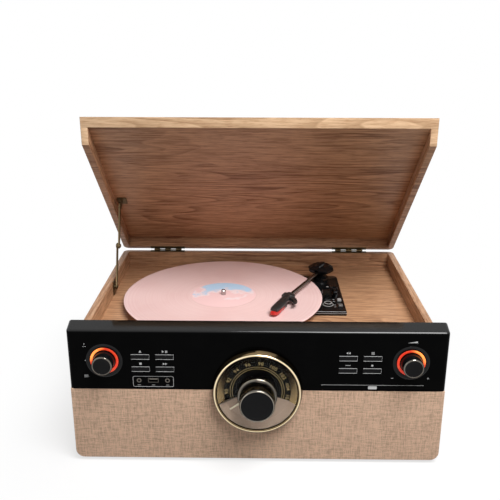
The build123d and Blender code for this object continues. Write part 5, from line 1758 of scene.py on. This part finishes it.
@dataclass
class FrontControls(SubAssembly):
    """Small knobs with lit rings, bar buttons, their signs, the socket panel and the drawer's front.

    Attributes:
        cap: Half the width and half the height of a button's cap.
        cap_front: Where the silver lines on a cap, painted highlights of its edges, start and end, in y.
        sign_size: Length that a sign's unit stands for.
        sign_above: How far a sign's middle stands above its button's cap.
        print_depth: Where the print on the bezel starts and ends, in y.
        knob: Profile of a small knob.
        knob_edge: Profile of the chrome ring at its edge, a painted highlight.
        knob_foot: Profile of the chrome line at its foot, a painted highlight.
        trim: Profile of the ring round a knob.
        guide: Profile of the lit ring inside it.
        panel_inset: How far the line round the sockets stands in from the panel's edge.
        panel_line: Width of that line.
        panel_marks: Where the marks over the sockets stand in x.
        panel_mark_z: Their height.
        drawer_line: The line on the drawer's front: its ends in x and z.
        drawer_plate: The plate on it, in the same way.
    """

    cap: Flat = (11.8, 3.65)
    cap_front: Flat = (-1.1, -1.32)
    sign_size: float = 1.6
    sign_above: float = 3.3
    print_depth: Flat = (0.05, -0.1)
    knob: Profile = (
        (0.0, -9.0), (3.0, -9.0), (3.0, 0.8), (13.0, 0.8), (13.4, 1.3), (13.3, 4.0), (12.9, 14.4),
        (12.4, 15.3), (11.6, 15.85), (10.6, 15.9), (9.8, 15.5), (0.0, 15.3),
    )
    knob_edge: Profile = (
        (10.9, 15.8), (11.6, 15.8), (12.5, 15.2), (12.65, 15.3), (11.9, 15.95), (11.0, 16.0)
    )
    knob_foot: Profile = ((13.2, 1.0), (13.6, 1.0), (13.6, 1.5), (13.2, 1.5))
    trim: Profile = (
        (17.9, 0.0), (23.0, 0.0), (23.0, 0.3), (22.3, 0.85), (20.5, 1.2), (18.6, 0.95), (17.9, 0.4)
    )
    guide: Profile = ((14.6, 0.0), (17.8, 0.0), (17.8, 0.45), (16.2, 0.9), (14.6, 0.45))
    panel_inset: float = 0.2
    panel_line: float = 0.45
    panel_marks: tuple[float, ...] = (-149.6, -131.6, -113.6)
    panel_mark_z: float = 112.8
    drawer_line: tuple[Flat, Flat] = ((80.8, 210.0), (115.15, 115.5))
    drawer_plate: tuple[Flat, Flat] = ((140.0, 151.0), (109.6, 113.8))

    def build(self) -> None:
        """Makes knobs, rings, buttons, signs and the lines of the socket panel and the drawer."""
        for body, x in (("source", -KNOB_X), ("volume", KNOB_X)):
            self._knob(body, x)
        trims = self._pair("trim", self.trim)
        self.put(gathered("trim_rings_turned", trims), TRIM_BLACK, "trim_chrome", "cabinet", "trim_rings")
        lights = self._pair("light", self.guide)
        self.put(gathered("light_rings_turned", lights), GLOW, "light_ring", "cabinet", "light_rings")
        signs = []
        for name, shapes in SIGNS.items():
            x, _, z = middle_of(f"button_{name}")
            self._button(f"button_{name}", x, z)
            foot, unit = z + self.cap[1] + self.sign_above, self.sign_size
            for shape in shapes:
                signs.append(self._printed([(x + unit * a, foot + unit * b) for a, b in shape]))
        signs += self._knob_signs() + self._panel_lines()
        self.put(gathered("printed_signs", signs), SILVER_PRINT_AND_HIGHLIGHT, "switch_silver", "cabinet")
        lines = [raised("line", oblong(*self.drawer_line), 0.05, -0.08)]
        lines.append(raised("plate", oblong(*self.drawer_plate, 0.8), 0.05, -0.12))
        self.put(gathered("drawer_lines", lines), SILVER_PRINT_AND_HIGHLIGHT, "tray_black", "drawer")

    def _printed(self, outline: Profile) -> bpy.types.Object:
        """Makes one printed shape on the bezel."""
        return raised("sign", outline, *self.print_depth)

    @staticmethod
    def _pair(name: str, profile: Profile) -> list[bpy.types.Object]:
        """Turns the same ring round both small knobs."""
        return [lathed(name, profile, (x, 0.0, KNOB_Z), Way.FRONT) for x in (-KNOB_X, KNOB_X)]

    def _knob(self, body: str, x: float) -> None:
        """Makes one small knob with its chrome rings at the edge and the foot as painted highlights.

        Args:
            body: The body that it turns with, which also names it.
            x: Where its middle stands.
        """
        at = (x, 0.0, KNOB_Z)
        knob = Turning(f"{body}_knob_turned", self.knob, KNOB_BLACK, "knob_black", stands_for=f"{body}_knob")
        self.turn(knob, at, Way.FRONT, body)
        # Painted highlights: chrome rings at the knob's edge and foot.
        bright = [lathed("edge", profile, at, Way.FRONT) for profile in (self.knob_edge, self.knob_foot)]
        self.put(gathered(f"{body}_knob_edge", bright), CHROME_SHADED, "trim_chrome", body)

    def _button(self, node: str, x: float, z: float) -> None:
        """Makes one bar button with silver lines along its edges as painted highlights.

        Args:
            node: The frame node, which also names the body.
            x: Where its middle stands.
            z: Its height.
        """
        self.ease(node, 0.35, KNOB_BLACK, "button_black", node)
        wide, high = self.cap
        # Painted highlights: silver lines along the cap's top, bottom and right edges.
        highlight_strips = [bar_at(x, z + side * (high - 0.4), wide - 0.5, 0.25) for side in (-1, 1)]
        highlight_strips.append(bar_at(x + wide - 0.45, z, 0.1, high - 0.4))
        lines = [raised("line", highlight_strip, *self.cap_front) for highlight_strip in highlight_strips]
        self.put(gathered(f"{node}_lines", lines), SILVER_PRINT_AND_HIGHLIGHT, "switch_silver", node)

    def _knob_signs(self) -> list[bpy.types.Object]:
        """Makes the marks round the small knobs.

        Returns:
            The dot and bars by the left knob, and the wedge, minus and plus by the right one.
        """
        low, high, x = KNOB_Z - 27.5, KNOB_Z + 27.5, -KNOB_X - 24.0
        left, right = KNOB_X - 22.5, KNOB_X + 22.5
        shapes = [bar_at(x, high - 4.8, 0.25, 1.2), disc(x, KNOB_Z, 0.5, 12)]
        shapes += [bar_at(x - 1.7 + 1.6 * step, high - 8.3, 0.5, 0.3) for step in range(3)]
        shapes += [bar_at(x, low + 4.25 + 1.3 * step, 2.6, 0.25) for step in range(3)]
        shapes.append([(KNOB_X - 6.0, high), (KNOB_X + 6.0, high), (KNOB_X + 6.0, high + 2.4)])
        shapes += [bar_at(side, low + 5.95, 1.4, 0.25) for side in (left, right)]
        shapes.append(bar_at(right, low + 5.95, 0.25, 1.4))
        return [self._printed(shape) for shape in shapes]

    def _panel_lines(self) -> list[bpy.types.Object]:
        """Makes the print on the socket panel.

        Returns:
            The silver line round the panel and the marks over its sockets.
        """
        low, high = (in_cabinet(corner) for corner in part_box("socket_panel"))
        outlines = []
        for inset, corner in ((self.panel_inset, 2.4), (self.panel_inset + self.panel_line, 2.0)):
            sides, ends = ((low[axis] + inset, high[axis] - inset) for axis in (0, 2))
            outlines.append(oblong(sides, ends, corner))
        outer, inner = outlines
        form = bmesh.new()
        loops = [
            [form.verts.new(spot(x, y, z)) for x, z in outline]
            for outline, y in ((outer, 0.45), (outer, 0.2), (inner, 0.2), (inner, 0.45))
        ]
        for first, second in zip(loops, loops[1:] + loops[:1]):
            walled(form, first, second)
        marks = [raised("sign", bar_at(x, self.panel_mark_z, 2.0, 0.2), 0.45, 0.3) for x in self.panel_marks]
        return [as_piece("outline", form), *marks]

    def dress(self) -> None:
        """Covers the socket panel, the sockets and the drawer."""
        self.keep(PIANO_BLACK, "socket_panel", "cd_tray")
        self.keep(CHROME_SHADED, "front_sockets")


@dataclass
class Electronics(SubAssembly):
    """What is inside: boards, loudspeakers, disc mechanism and the rear terminals."""

    def build(self) -> None:
        """Makes nothing: the frame's own forms carry the finishes."""

    def dress(self) -> None:
        """Covers the parts inside and on the rear."""
        self.keep(MAIN_CIRCUIT, "main_board")
        self.keep(CONTROL_CIRCUIT, "control_boards")
        self.keep(PAPER_CONE, "speakers")
        self.keep(DULL_STEEL, "cd_mechanism")
        self.keep(SATIN_BLACK, "terminal_plate")


# -------------------------------------------------------------------------------------------- studio
@dataclass(frozen=True)
class Lamp:
    """A soft square lamp.

    Attributes:
        name: Its name.
        place: Where it hangs, in metres.
        size: The length of its sides in metres.
        watts: Its power.
    """

    name: str
    place: Point
    size: float
    watts: float

    def hang(self, target: Point) -> None:
        """Hangs the lamp so that it faces a target.

        Args:
            target: The point to face, in metres.
        """
        light = bpy.data.lights.new(self.name, "AREA")
        light.size, light.energy = self.size, self.watts
        lamp = bpy.data.objects.new(self.name, light)
        lamp.location = self.place
        lamp.rotation_euler = (Vector(target) - lamp.location).to_track_quat("-Z", "Y").to_euler()
        bpy.context.scene.collection.objects.link(lamp)


@dataclass
class Studio:
    """Floor, surroundings, lamps and camera.

    Attributes:
        ambient: How bright the surroundings are for diffuse light.
        lamps: The lamps.
        target: The point that they face, in metres.
        eye: Where the camera stands, in metres.
        pan: How far it turns to the left, in degrees.
        dip: How far it looks down, in degrees.
        roll: How far it leans, in degrees.
        focal: Focal length of its lens in millimetres.
        shift: How far its lens is shifted upward, as a share of the view's width.
        floor_x: The floor's ends in x, in metres.
        floor_y: The floor's ends in y.
        footprint: Half the width and depth beyond which the floor starts to fade to white.
    """

    ambient: float = 0.085
    lamps: tuple[Lamp, ...] = (
        Lamp("key_lamp", (0.5, -0.78, 1.65), 0.95, 41.0),
        Lamp("fill_lamp", (-1.3, -0.7, 0.9), 1.2, 2.0),
    )
    target: Point = (0.0, 0.0, 0.12)
    eye: Point = (0.00059, -0.94645, 0.5544)
    pan: float = 0.7572
    dip: float = 18.2167
    roll: float = 0.1171
    focal: float = 49.21
    shift: float = -0.0125
    floor_x: Flat = (-4.0, 4.0)
    floor_y: Flat = (-3.0, 6.0)
    footprint: Point = (0.22, 0.18, 0.0)

    def build(self) -> None:
        """Makes the whole set."""
        bpy.context.scene.view_settings.view_transform = "Standard"
        self._floor()
        self._surroundings()
        for lamp in self.lamps:
            lamp.hang(self.target)
        self._camera()

    @staticmethod
    def _seen(canvas: Canvas) -> Socket:
        """Tells the rays that show things from the rays that light them.

        Args:
            canvas: The canvas to add the nodes to.

        Returns:
            One for camera, glossy and transmission rays and nothing for other rays.
        """
        path = canvas.add("LightPath").outputs
        seen = canvas.math("MAXIMUM", path["Is Camera Ray"], path["Is Glossy Ray"])
        return canvas.math("MAXIMUM", seen, path["Is Transmission Ray"])

    def _floor(self) -> None:
        """Makes the pale floor, which fades to white away from the object."""
        form = bmesh.new()
        form.faces.new([form.verts.new((x, y, 0.0)) for x, y in oblong(self.floor_x, self.floor_y)])
        floor = as_piece("floor", form)
        made = bpy.data.materials.new("floor_white")
        canvas = canvas_of(made)
        seen = self._seen(canvas)
        matt = canvas.add("BsdfDiffuse", {"Color": canvas.mix(seen, (0.4, 0.4, 0.4), (0.9, 0.9, 0.9))})
        white = canvas.add("Emission", {"Color": (1.0, 1.0, 1.0), "Strength": 1.0})
        beyond = canvas.vector("SUBTRACT", canvas.vector("ABSOLUTE", canvas.place()), self.footprint)
        away = canvas.vector("LENGTH", canvas.vector("MAXIMUM", beyond, (0.0, 0.0, 0.0)))
        share = canvas.times(canvas.span(away, (0.0, 0.2), to=(0.72, 1.0)), seen)
        mixed = canvas.add("MixShader", {0: share, 1: matt.outputs[0], 2: white.outputs[0]})
        canvas.add("OutputMaterial", {"Surface": mixed.outputs[0]})
        floor.data.materials.append(made)

    def _surroundings(self) -> None:
        """Makes surroundings that look white and light the object softly."""
        world = bpy.data.worlds.new("white_room")
        canvas = canvas_of(world)
        strength = canvas.math("MAXIMUM", self._seen(canvas), self.ambient)
        backdrop = canvas.add("Background", {"Color": (1.0, 1.0, 1.0), "Strength": strength})
        canvas.add("OutputWorld", {"Surface": backdrop.outputs[0]})
        bpy.context.scene.world = world

    def _camera(self) -> None:
        """Sets the camera in front of the object, a little above it."""
        lens = bpy.data.cameras.new("camera")
        lens.lens, lens.sensor_width, lens.shift_y = self.focal, 36.0, self.shift
        camera = bpy.data.objects.new("camera", lens)
        placed = Matrix.Translation(self.eye)
        for degrees, axis in ((self.pan, "Z"), (90 - self.dip, "X"), (self.roll, "Z")):
            placed = placed @ Matrix.Rotation(math.radians(degrees), 4, axis)
        camera.matrix_world = placed
        bpy.context.scene.collection.objects.link(camera)
        bpy.context.scene.camera = camera


def main() -> None:
    """Builds the music centre and its studio."""
    logging.basicConfig(level=logging.INFO, format="%(name)s: %(message)s")
    assemblies = [
        Cabinet("cabinet"),
        Lid("lid"),
        FoldingStay("folding stay"),
        RecordDrive("record drive"),
        Tonearm("tonearm"),
        RadioDial("radio dial"),
        FrontControls("front controls"),
        Electronics("electronics"),
    ]
    for assembly in assemblies:
        assembly.build()
        assembly.dress()
        for piece in assembly.pieces:
            LOG.info("%s: %s, %d faces", assembly.label, piece.name, len(piece.data.polygons))
    Studio().build()
    bpy.context.view_layer.update()


if __name__ == "__main__":
    main()
